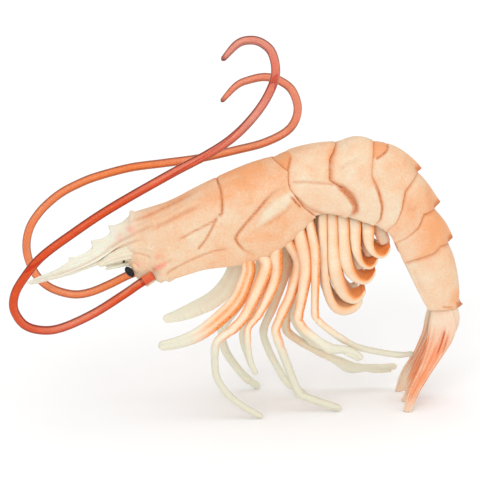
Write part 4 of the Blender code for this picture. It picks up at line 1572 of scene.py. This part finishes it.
@dataclass
class WalkingLegs:
    """Five pairs of jointed legs, washed orange along their rear edge and left pale toward the tips."""

    form: BodyForm
    legs: Sequence[Leg] = (
        Leg("leg_1", Side.LEFT, 3.85, (1, 0.92), (0.42, 0.62), [
            (9.5, -11, 61.5), (2, -15, 45.5), (-3.4, -16.3, 39), (-8.6, -17.2, 35.4), (-10.5, -17.5, 33.4),
            (-11.2, -17.5, 30), (-11.2, -17.3, 24), (-10.2, -17, 18), (-5.5, -16.5, 10.5), (1.5, -16.2, 4.8),
            (8, -16, 0.9)]),
        Leg("leg_2", Side.LEFT, 4.3, (1.14, 0.88), (0.6, 0.88), [
            (13.5, -9.5, 59), (11, -12.5, 52), (6.2, -15, 43.7), (3, -16, 40.2), (2, -16.3, 38),
            (1.9, -16.5, 34), (2.4, -16.5, 28), (3.6, -16.5, 23), (5.5, -16, 19)]),
        Leg("leg_3", Side.LEFT, 4.78, (0.95, 1.08), (0.45, 0.66), [
            (23, -7.5, 63), (19.5, -11, 51), (16.2, -12.4, 44), (13.8, -13, 38.4), (13.4, -13, 36),
            (14.6, -12.8, 31.5), (17.6, -12, 23), (20.8, -11.4, 14), (22.8, -11, 9.6), (24.8, -10.9, 7.6),
            (32, -10.5, 4.5), (40.5, -9.8, 1.2)]),
        Leg("leg_4", Side.LEFT, 5.27, (1.16, 1.05), (0.6, 0.86), [
            (25.5, -11.5, 64), (23.8, -13, 50), (22.4, -13.5, 42.5), (23, -13.7, 39.6), (26, -14, 35.8),
            (34, -15, 29.8), (41, -15, 28.4), (44.6, -15, 27), (48.2, -15, 24.2)],
            0.4, [(40.8, -15.4, 27.4), (44.2, -15.8, 25.8), (46.6, -15.8, 23.6)]),
        Leg("leg_5", Side.LEFT, 5.77, (0.78, 0.85), (0.45, 0.8), [
            (28.9, -13.3, 68.5), (29, -13.5, 57), (29, -13.5, 43.6), (30.2, -13.4, 40.6), (33.5, -13, 37.2),
            (40, -12, 32), (47, -10, 27.5), (56.5, -6, 23.8), (64.5, -3.5, 21.6), (71, -0.6, 20.9)]),
        Leg("leg_1", Side.RIGHT, 3.85, (1, 1.12), (0.42, 0.62), [
            (9, 10, 55.5), (1, 16, 39), (-6, 18.8, 27), (-5, 19.3, 18), (-1, 19.3, 11), (4, 18.8, 5),
            (9.5, 18.4, 0.9)]),
        Leg("leg_2", Side.RIGHT, 4.3, (1, 0.9), (0.6, 0.88), [
            (12.5, 10, 55.5), (7.5, 14, 40), (2.7, 17, 28), (2.5, 17.5, 21.5), (4.5, 17.5, 15),
            (6.5, 17, 9.5)]),
        Leg("leg_3", Side.RIGHT, 4.78, (1.05, 0.98), (0.45, 0.66), [
            (19.5, 9, 58), (15, 12, 40), (10.7, 13, 28), (12.5, 12.5, 20), (16, 11, 13), (20.5, 9.5, 5.8),
            (28, 8.3, 0.9)]),
        Leg("leg_4", Side.RIGHT, 5.27, (1.1, 1), (0.6, 0.86), [
            (24.4, 11.3, 63), (23.8, 12.8, 53), (21.5, 14, 38.7), (20, 15, 29), (23, 15.5, 24),
            (34.5, 16.2, 16.5), (42.9, 16.2, 12.4), (49, 16.4, 9.7), (56.9, 16.5, 9.1), (67, 16.5, 9.5)],
            0.75, [(52.5, 16, 8.9), (58.5, 15.7, 8), (64.6, 15.6, 7.9)]),
        Leg("leg_5", Side.RIGHT, 5.77, (0.9, 0.95), (0.45, 0.8), [
            (27.6, 7.6, 61.3), (25, 10.8, 43), (23, 12.5, 33.3), (29.5, 14.5, 23), (35, 15, 19.5),
            (42, 15, 18), (48, 15, 16)]),
    )

    def build(self, bench: Bench) -> None:
        """Builds every leg."""
        for leg in self.legs:
            leg.build(self.form, bench)


@dataclass(frozen=True)
class Maxilliped:
    """One wide feathered mouth limb.

    Attributes:
        side: its side.
        tint: the strength of its paint.
        painted_end_shade: how much painted shade, in the finish's dull grey, darkens its bare end.
        wide: half widths along it.
        route: its middle line's points below the root.
    """

    side: Side
    tint: float
    painted_end_shade: float
    wide: Sizes
    route: Route
    # The same for both: where it leaves the body, its half thicknesses, and its comb and groove.
    station: ClassVar[float] = 3.35
    thin: ClassVar[Sizes] = (1.9, 1.5, 1.4, 1.3)
    comb_depth: ClassVar[float] = 0.16
    comb_pitch: ClassVar[float] = 2.6
    groove_depth: ClassVar[float] = 0.4

    def build(self, form: BodyForm, bench: Bench) -> None:
        """Builds the limb.

        Args:
            form: the body's sections.
            bench: where it is made.
        """
        line = with_tip(even_line([*limb_root(form, self.station, self.side), *self.route], 0.4), 1.6)
        skin = Sweep(line, self.wide, self.thin, 36, square=1.15).skin()
        face = np.abs(skin.lean[:, 1])
        groove = np.exp(-((skin.lean[:, 0] + 0.25) / 0.28) ** 2) * face
        travelled = skin.part * np.linalg.norm(np.diff(line, axis=0), axis=1).sum()
        comb = np.sin(travelled * self.comb_pitch)[:, None] * skin.along(0.45, 0.6)
        lower = smoothstep(-0.1, 0.5, skin.lean[:, 0])
        skin.lift(self.comb_depth * comb * face * lower - self.groove_depth * groove * skin.along(0.08, 0.2))
        name = f"maxilliped_{self.side.word}"
        bench.skin(f"{name}_skin", skin.rings, self.wash(skin, groove), Slot.CREAM, [name])

    def wash(self, skin: Skin, groove: Array) -> Array:
        """Orange in the groove and along the lower edge, fading to bare plastic, with painted shade darkening
        the end.

        Args:
            skin: the limb's skin.
            groove: how much of the groove each point round a ring has.

        Returns:
            The paint.
        """
        near = 1.0 - skin.along(0.55, 0.85)
        warm = self.tint * near
        lower_edge = smoothstep(0.1, 0.6, skin.lean[:, 0])
        return coat(skin.rings, 0.4 * warm, warm * (0.1 * near + 0.75 * groove + 0.95 * lower_edge),
                    1.0 - 0.8 * warm, self.painted_end_shade * (1.0 - near))


@dataclass
class Maxillipeds:
    """The pair of wide feathered mouth limbs."""

    form: BodyForm
    limbs: Sequence[Maxilliped] = (
        # the left limb's end gets painted shade; the right one's gets none
        Maxilliped(Side.LEFT, 1.0, 0.75, [1.9, 2.7, 3.0, 3.1, 3.0, 2.6, 1.9], [
            (2.5, -10, 59.5), (-1.5, -13, 50.5), (-8, -14.5, 43.5), (-17, -15, 36.5), (-25.5, -15, 33),
            (-33.5, -14.5, 31.3)]),
        Maxilliped(Side.RIGHT, 0.15, 0.0, [1.9, 2.6, 3.4, 3.8, 3.6, 3.0, 1.6], [
            (-1, 10, 56), (-4, 12, 48.5), (-9, 14, 42), (-15.5, 15, 38), (-23.5, 15.5, 34.5),
            (-30.7, 15.5, 32.6)]),
    )

    def build(self, bench: Bench) -> None:
        """Builds both limbs."""
        for limb in self.limbs:
            limb.build(self.form, bench)


@dataclass(frozen=True)
class Paddle:
    """One pair of J-shaped swimming paddles.

    Attributes:
        number: the pair's number from the front.
        warmth: how orange the hollow face is.
        route: the middle line's (x, z, half thickness) points.
        branch: the smaller inner branch's middle line on the right side, or nothing.
    """

    number: int
    warmth: float
    route: Route
    branch: Route = ()
    # The same for every pair; inner and outer are its edges' distances from the middle plane.
    step: ClassVar[float] = 0.5
    inner: ClassVar[Sizes] = (2.4, 1.6, 1.5, 1.5, 1.7, 2.2, 3.0)
    outer: ClassVar[Sizes] = (8.0, 11.2, 11.5, 11.5, 11.3, 10.8, 9.8)
    cupping: ClassVar[float] = 0.3
    hollow: ClassVar[float] = 0.3
    branch_wide: ClassVar[Sizes] = (1.9, 2.3, 2.5, 2.0)
    branch_thin: ClassVar[Sizes] = (0.9, 0.9, 0.8, 0.6)

    def build(self, side: Side, bench: Bench) -> None:
        """Builds one paddle of the pair, with its branch.

        Args:
            side: its side.
            bench: where it is made.
        """
        name = f"swimmeret_{self.number}_{side.word}"
        rings, paint = self.paddle(side)
        bench.skin(f"{name}_skin", rings, paint, Slot.CREAM, [name])
        if self.branch:
            rings, paint = self.small_branch(side)
            bench.skin(f"{name}_branch", rings, paint, Slot.CREAM, [])

    def small_branch(self, side: Side) -> tuple[Array, Array]:
        """The smaller inner branch that lies in the paddle's curl.

        Args:
            side: its side.

        Returns:
            Its rings and their paint.
        """
        line = with_tip(even_line(mirrored(self.branch, side), 0.4), 1.2)
        skin = Sweep(line, self.branch_wide, self.branch_thin, 28).skin()
        pale = 0.35 + 0.3 * skin.along(0.5, 1.0)
        return skin.rings, coat(skin.rings, 0.35, 0.35 * skin.edge(0.4, 0.9), pale)

    def spread_route(self) -> tuple[Array, Array]:
        """The route read evenly.

        Returns:
            Its points, and the half thickness at each, rounded off at the tip.
        """
        line = even_line([(x, 0.0, z) for x, z, _ in self.route], self.step)
        places = [np.linalg.norm(line - np.array([x, 0.0, z]), axis=1).argmin() for x, z, _ in self.route]
        thick = np.interp(np.arange(len(line)), places, [row[2] for row in self.route])
        left = np.clip(np.arange(len(line))[::-1] * self.step / 1.2, 0.0, 1.0)
        return line, thick * np.sqrt(np.maximum(1.0 - (1.0 - left) ** 2, 0.05))

    def paddle(self, side: Side) -> tuple[Array, Array]:
        """One paddle's skin.

        Args:
            side: its side.

        Returns:
            Its rings and their paint.
        """
        line, thick = self.spread_route()
        part = np.linspace(0.0, 1.0, len(line))
        marks = np.linspace(0.0, 1.0, len(self.inner))
        inner, outer = (np.interp(part, marks, edge) for edge in (self.inner, self.outer))
        face = np.cross(unit(np.gradient(line, axis=0)), ACROSS)
        middle = line + ACROSS * (side.value * (inner + outer) / 2)[:, None]
        half = (outer - inner) / 2
        lean = boxy_circle(40, 2.2)
        rings = (middle[:, None] + ACROSS * (half[:, None] * lean[:, 0])[..., None]
                 + face[:, None] * (thick[:, None] * lean[:, 1])[..., None])
        skin = Skin(rings, part, lean)
        curl = skin.along(0.45, 0.65)
        skin.rings[..., 2] += self.cupping * curl * (outer[:, None] - np.abs(rings[..., 1]))
        rear = smoothstep(0.2, 0.8, lean[:, 1])
        skin.lift(-self.hollow * rear * (1.0 - skin.edge(0.55, 0.9)) * skin.along(0.1, 0.3))
        inside = rear * smoothstep(-1.0, -0.5, lean[:, 0] * side.value)
        return skin.rings, self.wash(skin, curl, inside)

    def wash(self, skin: Skin, curl: Array, inside: Array) -> Array:
        """Orange on the hollow face, pale behind.

        Args:
            skin: the paddle's skin.
            curl: how much of the curl each ring has.
            inside: how much of the hollow face each point round a ring has.

        Returns:
            The paint.
        """
        orange = 0.78 * self.warmth * inside * (0.6 + 0.4 * skin.along(0.3, 0.7))
        return coat(skin.rings, 0.3 + 0.24 * curl + (0.1 + 0.68 * self.warmth) * inside, orange,
                    0.2 * (1.0 - inside) * (1.0 - curl), 0.45 * curl * (1.0 - inside))


@dataclass
class Swimmerets:
    """Five pairs of J-shaped swimming paddles."""

    pairs: Sequence[Paddle] = (
        Paddle(1, 0.2, [(32.2, 84, 1.9), (32.2, 71.5, 2), (32.7, 61, 1.9), (34.2, 51.5, 2),
                        (36.9, 44.9, 2), (41, 42.6, 1.9), (45.4, 43.8, 1.7), (48.2, 47.2, 1.2)]),
        Paddle(2, 0.65, [(36.1, 83.4, 2.1), (36.2, 72, 2.4), (37, 62.5, 2.9), (38.6, 55, 3),
                         (41.3, 49.4, 2.4), (45, 47, 1.5), (47.9, 48.3, 1), (49.6, 51.2, 0.7)]),
        Paddle(3, 0.9, [(40.4, 83, 2.3), (40.6, 73, 2.5), (41.4, 65, 2.9), (43.2, 59.2, 2.5),
                        (46.3, 55.7, 1.6), (49.9, 54.8, 0.9), (52.4, 56.8, 0.7), (53.5, 59.4, 0.5)],
               [(44.6, 4.6, 76), (45.4, 4.8, 66.5), (47.5, 5, 58.6)]),
        Paddle(4, 1, [(45.2, 81.6, 2.5), (45.2, 73, 2.4), (45.9, 67.2, 2), (47.8, 62.8, 1.4),
                        (50.7, 60.9, 0.9), (53.1, 62, 0.7), (54.4, 64.8, 0.5)],
               [(49.6, 4.4, 77), (50.5, 4.8, 70), (52.2, 5, 64)]),
        Paddle(5, 1, [(50.4, 80, 2.7), (50.4, 73, 2.5), (51.2, 69, 1.9), (53.4, 66.2, 1.3),
                        (56.4, 65.4, 0.8), (58.4, 67, 0.6), (59.3, 69.2, 0.5)],
               [(54.6, 4.2, 78), (56.3, 4.6, 73), (58.2, 4.9, 69)]),
    )

    def build(self, bench: Bench) -> None:
        """Builds every paddle.

        Args:
            bench: where they are made.
        """
        for pair in self.pairs:
            for side in Side:
                pair.build(side, bench)


@dataclass(frozen=True)
class Antenna:
    """One long clear rod in an unbroken curl, with the darker sleeve at its root.

    Attributes:
        side: its side.
        slot: its material slot.
        radius: its radius over most of its length.
        taper: its last radii.
        tones: rows of a part along it, its share of the tip's tint, and the strength of the painted highlight
            strip.
        route: its middle line's points.
    """

    side: Side
    slot: Slot
    radius: float
    taper: Sizes
    tones: Rows
    route: Route
    # The same for both; its first points are hidden in the collar and the face.
    even_stretches: ClassVar[int] = 26
    lengths: ClassVar[int] = 4
    hidden_points: ClassVar[int] = 5
    collar_points: ClassVar[int] = 7
    collar_radius: ClassVar[float] = 1.84
    collar_lip: ClassVar[float] = 0.22

    def build(self, bench: Bench) -> None:
        """Builds the rod and its sleeve.

        Args:
            bench: where they are made.
        """
        line = with_tip(even_line(self.route, 0.7), 1.2)
        sizes = [self.radius] * self.even_stretches + [*self.taper]
        skin = Sweep(line[self.hidden_points:], sizes, sizes, 24).skin()
        name = f"antenna_{self.side.word}"
        solids = [f"{name}_{k + 1}" for k in range(self.lengths)]
        bench.skin(f"{name}_skin", skin.rings, self.tone(skin), self.slot, solids)
        self.build_collar(bench, line)

    def tone(self, skin: Skin) -> Array:
        """A rod's paint: its tip's tint, painted shade on its edges and underside, a darker very tip, and a
        painted highlight strip on its upper side.

        Args:
            skin: the rod's skin.

        Returns:
            The paint.
        """
        places, tints, lights = np.array(self.tones, float).T
        tint, light = (np.interp(skin.part, places, values)[:, None] for values in (tints, lights))
        normals = ring_normals(skin.rings)
        rise = normals[..., 2] + 0.25 * normals[..., 0]
        # painted highlight along the rod's upper side
        strip = smoothstep(-0.1, 0.35, rise) * (1.0 - smoothstep(0.75, 0.95, rise))
        # painted shade along both edges and on the underside
        dark = 0.95 * skin.edge(0.66, 0.88) + 0.25 * smoothstep(0.3, 0.9, -rise)
        return coat(skin.rings, tint, np.maximum(dark, 0.8 * skin.along(0.985, 1.0)), strip * light)

    def build_collar(self, bench: Bench, line: Array) -> None:
        """Builds the darker sleeve that holds the rod's root, with a raised lip at each end and a painted
        highlight along its upper side.

        Args:
            bench: where it is made.
            line: the rod's middle line.
        """
        short = even_line([tuple(point) for point in line[:self.collar_points]], 0.15)
        skin = Sweep(short, [self.collar_radius], [self.collar_radius], 32, blunt=False).skin()
        lips = np.exp(-((skin.part - 0.02) / 0.06) ** 2) + np.exp(-((skin.part - 0.95) / 0.05) ** 2)
        skin.lift(self.collar_lip * lips[:, None])
        # painted highlight: the upper side is lighter orange, the rest deeper red
        light = smoothstep(0.3, 0.8, ring_normals(skin.rings)[..., 2])
        paint = coat(skin.rings, 1.0, 0.75 * light, 0.0, 1.0 - 0.25 * light)
        bench.skin(f"antenna_{self.side.word}_collar", skin.rings, paint, Slot.TAIL, [])


@dataclass
class Antennae:
    """The pair of long clear rods."""

    rods: Sequence[Antenna] = (
        Antenna(Side.LEFT, Slot.RED_ROD, 1.78, [1.75, 1.6, 1.05], (
            (0, 0, 1), (0.035, 0, 0.9), (0.06, 0, 0.4), (0.12, 0.2, 0.9), (0.17, 0.2, 0.9),
            (0.21, 0.1, 0.3), (0.3, 0, 0.15), (0.5, 0, 0.2), (0.63, 0.15, 0.6), (0.69, 0.3, 0.3),
            (0.74, 0.5, 0.5), (0.78, 1, 0.6), (0.84, 0.6, 0.3), (0.88, 0.6, 0.3), (0.92, 1, 0.5),
            (1, 1, 0.6)), [
            (-35.1, -7.9, 58.9), (-40.7, -7.6, 55.3), (-46.5, -7, 51.1), (-58.5, -8, 43.8),
            (-70.5, -9, 38.6), (-78.5, -10, 37.6), (-86, -10.5, 40), (-90.1, -11, 46.4),
            (-89.8, -11.5, 52.9), (-86.4, -12, 59.4), (-79.1, -12.5, 68.5), (-66.8, -13, 77.9),
            (-51.3, -13, 88.2), (-27.9, -13, 101.5), (-14.3, -13, 108.6), (-5, -12.5, 114.4),
            (2.7, -12, 121.5), (9.2, -11.5, 130.2), (12.9, -11, 139.5), (11.7, -11, 147.9),
            (7.7, -11, 152.1), (3, -11, 153.3), (-1.9, -11, 151.8), (-7.8, -11, 145.5)]),
        Antenna(Side.RIGHT, Slot.ORANGE_ROD, 1.72, [1.6, 1.4, 0.9], (
            (0, 0, 0.3), (0.1, 0.2, 0.5), (0.2, 0.4, 0.6), (0.3, 0.3, 0.5), (0.4, 0.1, 0.3),
            (0.5, 0, 0.1), (0.6, 0.3, 0.3), (0.66, 0.3, 0.5), (0.75, 0.6, 0.6), (0.82, 0.9, 0.3),
            (0.9, 0.8, 0.2), (1, 0.9, 0.3)), [
            (-36.6, 6.2, 57.8), (-45, 7, 54.5), (-52.5, 7.5, 50.7), (-60.4, 8, 47.4), (-67.5, 9, 46.4),
            (-75.6, 10, 48.7), (-81.1, 10.5, 53.3), (-84.5, 11, 60), (-85.5, 11.5, 67), (-83.9, 12, 74),
            (-80.2, 12.5, 79.8), (-75.7, 13, 84.3), (-70.7, 13, 88.1), (-64.8, 13, 91.2), (-57.3, 13, 94.2),
            (-43.4, 13, 97.8), (-29.5, 13, 99.5), (-15, 13, 101.3), (-1, 13, 104.3), (11.1, 12.5, 107.5),
            (20.6, 12, 112.9), (23.9, 11.5, 120.5), (21.8, 11, 128.4), (16.9, 11, 132.7), (11, 11, 134.4),
            (4.6, 11, 133.4), (-0.8, 11, 131), (-6.8, 11, 124.6)]),
    )

    def build(self, bench: Bench) -> None:
        """Builds both rods."""
        for rod in self.rods:
            rod.build(bench)


# ---- head parts, underside and tail

@dataclass(frozen=True)
class Bead:
    """A tilted bead of black paint: its middle on the right side, and its half sizes."""

    centre: Point
    radii: Point
    tilt: ClassVar[float] = math.radians(38)

    def rings(self, side: Side) -> Array:
        """The bead's skin.

        Args:
            side: its side.

        Returns:
            Its rings.
        """
        tall = np.linspace(0.04, math.pi - 0.04, 36)[:, None]
        turn = np.linspace(0.0, 2.0 * math.pi, 48, endpoint=False)
        x, y, z = (np.sin(tall) * np.cos(turn) * self.radii[0], np.sin(tall) * np.sin(turn) * self.radii[1],
                   np.cos(tall) * np.ones_like(turn) * self.radii[2])
        cosine, sine = math.cos(self.tilt), math.sin(self.tilt)
        turned = np.stack([x * cosine - z * sine, y, x * sine + z * cosine], axis=-1)
        return turned + np.array([self.centre[0], side.value * self.centre[1], self.centre[2]])


@dataclass(frozen=True)
class Twig:
    """A small part of the head, swept along its line.

    Attributes:
        name: its name.
        route: its middle line on the right side.
        wide: half sizes in the body's plane.
        thin: half sizes across it.
        blush: how much peach it has at its root; its tip stays pale.
        ribs: the height of the ribs along it.
    """

    name: str
    route: Route
    wide: Sizes
    thin: Sizes
    blush: float
    ribs: float = 0.0

    def build(self, side: Side, bench: Bench) -> None:
        """Builds it.

        Args:
            side: its side.
            bench: where it is made.
        """
        line = with_tip(even_line(mirrored(self.route, side), 0.35), 0.6)
        skin = Sweep(line, self.wide, self.thin, 72).skin()
        angle = np.arcsin(np.clip(skin.lean[:, 0], -1.0, 1.0))
        wave = np.cos(angle * 9.0) * skin.along(0.0, 0.3)
        skin.lift(self.ribs * wave)
        settled = 0.12 * smoothstep(0.2, 0.9, -wave) * (self.ribs > 0.0)
        paint = coat(skin.rings, self.blush, settled, skin.along(0.1, 0.7) * (1.0 - 1.3 * self.blush), 0.35)
        name = f"{self.name}_{side.word}"
        bench.skin(f"{name}_skin", skin.rings, paint, Slot.CREAM, [name])


@dataclass
class HeadParts:
    """Eyes on stalks with a black speck below each, antennal scales and antennules."""

    eye: Bead = Bead((-44.4, 7.2, 60.3), (1.5, 1.8, 2.5))
    speck: Bead = Bead((-46.6, 4.7, 63.8), (0.62, 0.5, 0.42))
    twigs: Sequence[Twig] = (
        Twig("eye_stalk", [(-35, 3, 62.6), (-39.4, 4, 62), (-43.4, 5.6, 60.9)],
             [2, 2.2, 2.2], [1.5, 1.5, 1.2], 0.75),
        Twig("antennal_scale", [(-36, 4.2, 67.6), (-44.6, 4.3, 67), (-51, 3.4, 64.9),
                                (-56.6, 2.8, 61.8)],
             [2.9, 3, 2.3, 0.8], [1.2, 1.1, 1, 0.7], 0.2, 0.12),
        Twig("antennule", [(-38.6, 2, 63.2), (-45, 2.4, 62.2), (-54, 2.2, 60)],
             [0.9, 0.8, 0.5], [0.9, 0.8, 0.5], 0.1),
    )

    def build(self, bench: Bench) -> None:
        """Builds both sides.

        Args:
            bench: where they are made.
        """
        for side in Side:
            eye, speck = f"eye_{side.word}", f"speck_{side.word}"
            for bead, name, solids in ((self.eye, f"{eye}_skin", [eye]), (self.speck, speck, [])):
                rings = bead.rings(side)
                bench.skin(name, rings, coat(rings), Slot.BLACK, solids)
            for twig in self.twigs:
                twig.build(side, bench)


@dataclass(frozen=True)
class Block:
    """A block under the body: its name, its half outline and its first and last stations."""

    name: str
    outline: Rows
    first: float
    last: float
    rings: ClassVar[int] = 110
    rib_height: ClassVar[float] = 0.35
    ribs_per_station: ClassVar[float] = 2.1

    def build(self, form: BodyForm, bench: Bench) -> None:
        """Builds the block, ribbed across underneath.

        Args:
            form: the body's sections.
            bench: where it is made.
        """
        half = smooth_rows(np.array(self.outline, float), np.linspace(0.0, len(self.outline) - 1.0, 30))
        ring = form.ring_outline(half)
        stations = np.linspace(self.first, self.last, self.rings)[:, None] * np.ones(len(ring))
        rings = form.place(stations, np.broadcast_to(ring, (*stations.shape, 2)))
        ribs = self.rib_height * np.sin(stations * 2.0 * math.pi * self.ribs_per_station)
        rings[..., 2] += np.where(ring[None, :, 1] < 0.06, ribs, 0.0)
        paint = coat(rings, 0.3, 0.25 * smoothstep(0.1, 0.35, -ribs), 0.5)
        bench.skin(f"{self.name}_skin", rings, paint, Slot.CREAM, [self.name])


@dataclass
class Underside:
    """The breast plate and the block of mouthparts."""

    form: BodyForm
    blocks: Sequence[Block] = (
        Block("sternum", ((0, 0.22), (0.42, 0.18), (0.56, 0.09), (0.54, 0.03), (0, 0.03)), 1.15, 5.9),
        Block("mouthparts", ((0, 0.17), (0.42, 0.13), (0.56, 0.05), (0.5, -0.05), (0, -0.06)), 0.1, 1.05),
    )

    def build(self, bench: Bench) -> None:
        """Builds both blocks."""
        for block in self.blocks:
            block.build(self.form, bench)


@dataclass(frozen=True)
class Blade:
    """A blade of the tail fan.

    Attributes:
        name: its name.
        route: its middle line on the right side.
        wide: half widths along it.
        thin: half thicknesses along it.
        roll: its turn about its line.
        phase: where its streaks start round it.
        paired: whether there is one on each side.
        far_warmth: on the right side, where its warm paint ends and how strong it is; the outer blade's is
            weaker, a painted light that lightens that far blade where it lies in shade.
        warmth: the same on the left side.
        slits: moulded slits in every blade.
    """

    name: str
    route: Route
    wide: Sizes
    thin: Sizes
    roll: float = 0.0
    phase: float = 12.0
    paired: bool = True
    far_warmth: tuple[float, float] = (0.8, 1.0)
    warmth: ClassVar[tuple[float, float]] = (0.8, 1.0)
    rib_height: ClassVar[float] = 0.15
    slits: ClassVar[Sequence[Groove]] = (
        Groove([(83, 34.6), (81.2, 27.8), (78.9, 21.3)], 0.9, 0.36, 1, 0.3, 0.42),
        Groove([(84.4, 32.4), (82.9, 27), (80.9, 22)], 0.4, 0.35, 0.6, 0.3),
    )

    def build(self, side: Side, bench: Bench) -> None:
        """Builds the blade, ribbed along its length and cut flat where it meets the ground.

        Args:
            side: its side.
            bench: where it is made.
        """
        line = even_line(mirrored(self.route, side), 0.45)
        on_floor = self.route[-1][2] == 0
        line = line if on_floor else with_tip(line, 1.2)
        skin = Sweep(line, self.wide, self.thin, 96, self.roll * side.value, 1.1, not on_floor).skin()
        angle = np.arctan2(skin.lean[:, 1], skin.lean[:, 0])
        ribs = np.cos(angle * 10.0) * skin.along(0.05, 0.3)
        skin.lift(self.rib_height * ribs)
        skin.land()
        end, tint = self.warmth if side is Side.LEFT else self.far_warmth
        streak = 0.5 + 0.5 * np.sin(angle * 4.0 + 3.0 * skin.part[:, None] + self.phase)
        warm = tint * skin.along(0.12, 0.5) * (1.0 - skin.along(end, end + 0.17))
        paint = coat(skin.rings, 0.38 * tint + (0.12 + 0.6 * streak) * warm,
                     (0.05 + 0.4 * warm) * smoothstep(0.2, 0.9, -ribs), 0.3 * (1.0 - warm))
        for slit in self.slits:
            low, stain = slit.mark(skin.rings[..., [0, 2]])
            skin.lift(low)
            paint[..., 1] = np.maximum(paint[..., 1], stain)
        full_name = f"{self.name}_{side.word}" if self.paired else self.name
        bench.skin(f"{full_name}_skin", skin.rings, paint, Slot.TAIL, [full_name])


@dataclass
class TailFan:
    """The telson and the two pairs of blades beside it."""

    blades: Sequence[Blade] = (
        Blade("telson", [(84.8, 0, 42.6), (86.4, 0, 38.6), (86.3, 0, 33.5), (82.5, 0, 25.2), (77.8, 0, 17),
                         (72.3, 0, 8.5), (67.6, 0, 0)],
              [2.4, 3.1, 2.2, 1.8, 1.5, 1.1], [4.4, 4, 2.3, 1.8, 1.4, 1], phase=6, paired=False),
        Blade("uropod_inner", [(83.6, 3.6, 44.5), (82.4, 3.9, 31), (77.7, 4.4, 20.5), (72.6, 5.5, 9.5),
                               (69.2, 6.2, 2.2)],
              [2.8, 3, 2.8, 2.4, 1], [1.4, 1, 0.8, 0.7, 0.5], math.radians(8)),
        Blade("uropod_outer", [(80.8, 3.4, 42.4), (81.8, 4.8, 37), (81, 6.1, 30), (75.9, 8.6, 19),
                               (70, 11, 8.5), (67.3, 12.2, 0)],
              [3.8, 5.5, 4, 2.6, 2.1, 1.6], [1.2, 1.4, 1.1, 0.9, 0.8, 0.7], math.radians(10),
              # the far outer blade is painted paler: painted light over the shade it lies in
              far_warmth=(0.62, 0.55)),
    )

    def build(self, bench: Bench) -> None:
        """Builds the blades.

        Args:
            bench: where they are made.
        """
        for blade in self.blades:
            for side in (Side.LEFT, Side.RIGHT) if blade.paired else (Side.RIGHT,):
                blade.build(side, bench)


# ---- studio

@dataclass(frozen=True)
class SoftLight:
    """A wide soft light shining evenly on the whole floor.

    Attributes:
        name: its name.
        toward: the direction from the figure to the light.
        spread: how wide it looks from the figure, in degrees.
        power: its power in watts on a square metre.
    """

    name: str
    toward: Point
    spread: float
    power: float

    def build(self) -> None:
        """Hangs the light."""
        lamp = bpy.data.lights.new(self.name, "SUN")
        lamp.angle = math.radians(self.spread)
        lamp.energy = self.power
        piece = bpy.data.objects.new(self.name, lamp)
        bpy.context.scene.collection.objects.link(piece)
        piece.rotation_euler = Vector(self.toward).to_track_quat("Z", "Y").to_euler()


@dataclass
class Studio:
    """The floor, the soft lights and the camera.

    Attributes:
        aim: the point that the camera looks at, in the frame's millimetres.
        azimuth: how far to the side it stands.
        elevation: how far above the level it stands.
        distance: how far it is from the aim.
        lens: its focal length.
        floor_half: half the floor's side, in metres.
        surround: the strength of the white surround.
        lights: the soft lights.
    """

    aim: Point = (0.5, -0.9, 70.5)
    azimuth: float = math.radians(-4)
    elevation: float = math.radians(16)
    distance: float = 800.0
    lens: float = 150.0
    floor_half: float = 6.0
    surround: float = 0.58
    lights: Sequence[SoftLight] = (
        SoftLight("key", (-0.35, -1.0, 0.5), 35.0, 1.05),
        SoftLight("top", (0.1, -0.1, 1.1), 90.0, 1.05),
        SoftLight("fill", (0.9, -0.6, 0.35), 45.0, 0.45),
    )

    def build(self) -> None:
        """Sets up the studio."""
        self.floor()
        self.world()
        for light in self.lights:
            light.build()
        self.camera()
        bpy.context.scene.view_settings.view_transform = "Standard"

    def floor(self) -> None:
        """Lays a wide pale sheet."""
        half = self.floor_half
        corners = [(-half, -half, 0.0), (half, -half, 0.0), (half, half, 0.0), (-half, half, 0.0)]
        mesh = bpy.data.meshes.new("floor")
        mesh.from_pydata(corners, [], [(0, 1, 2, 3)])
        mesh.materials.append(StudioPaper("studio_paper").material())
        floor = bpy.data.objects.new("floor", mesh)
        bpy.context.scene.collection.objects.link(floor)

    def world(self) -> None:
        """Makes an even white surround."""
        world = bpy.data.worlds.new("surround")
        world.use_nodes = True
        background = world.node_tree.nodes["Background"]
        background.inputs["Color"].default_value = (1.0, 1.0, 1.0, 1.0)
        background.inputs["Strength"].default_value = self.surround
        bpy.context.scene.world = world

    def camera(self) -> None:
        """Stands the camera at the figure's left side, a little above it."""
        lens = bpy.data.cameras.new("camera")
        lens.lens = self.lens
        camera = bpy.data.objects.new("camera", lens)
        bpy.context.scene.collection.objects.link(camera)
        flat, rise = math.cos(self.elevation), math.sin(self.elevation)
        back = Vector((math.sin(self.azimuth) * flat, -math.cos(self.azimuth) * flat, rise))
        camera.location = (Vector(self.aim) + back * self.distance) * MM
        camera.rotation_euler = (-back).to_track_quat("-Z", "Y").to_euler()
        bpy.context.scene.camera = camera


def main() -> None:
    """Builds every sub-assembly in order."""
    logging.basicConfig(level=logging.INFO, format="%(name)s: %(message)s")
    bench = Bench()
    form = BodyForm()
    for assembly in (HeadShell(form), Abdomen(form), Underside(form), HeadParts(), Antennae(),
                     Maxillipeds(form), WalkingLegs(form), Swimmerets(), TailFan()):
        LOG.info("building %s", type(assembly).__name__)
        assembly.build(bench)
    Studio().build()


if __name__ == "__main__":
    main()
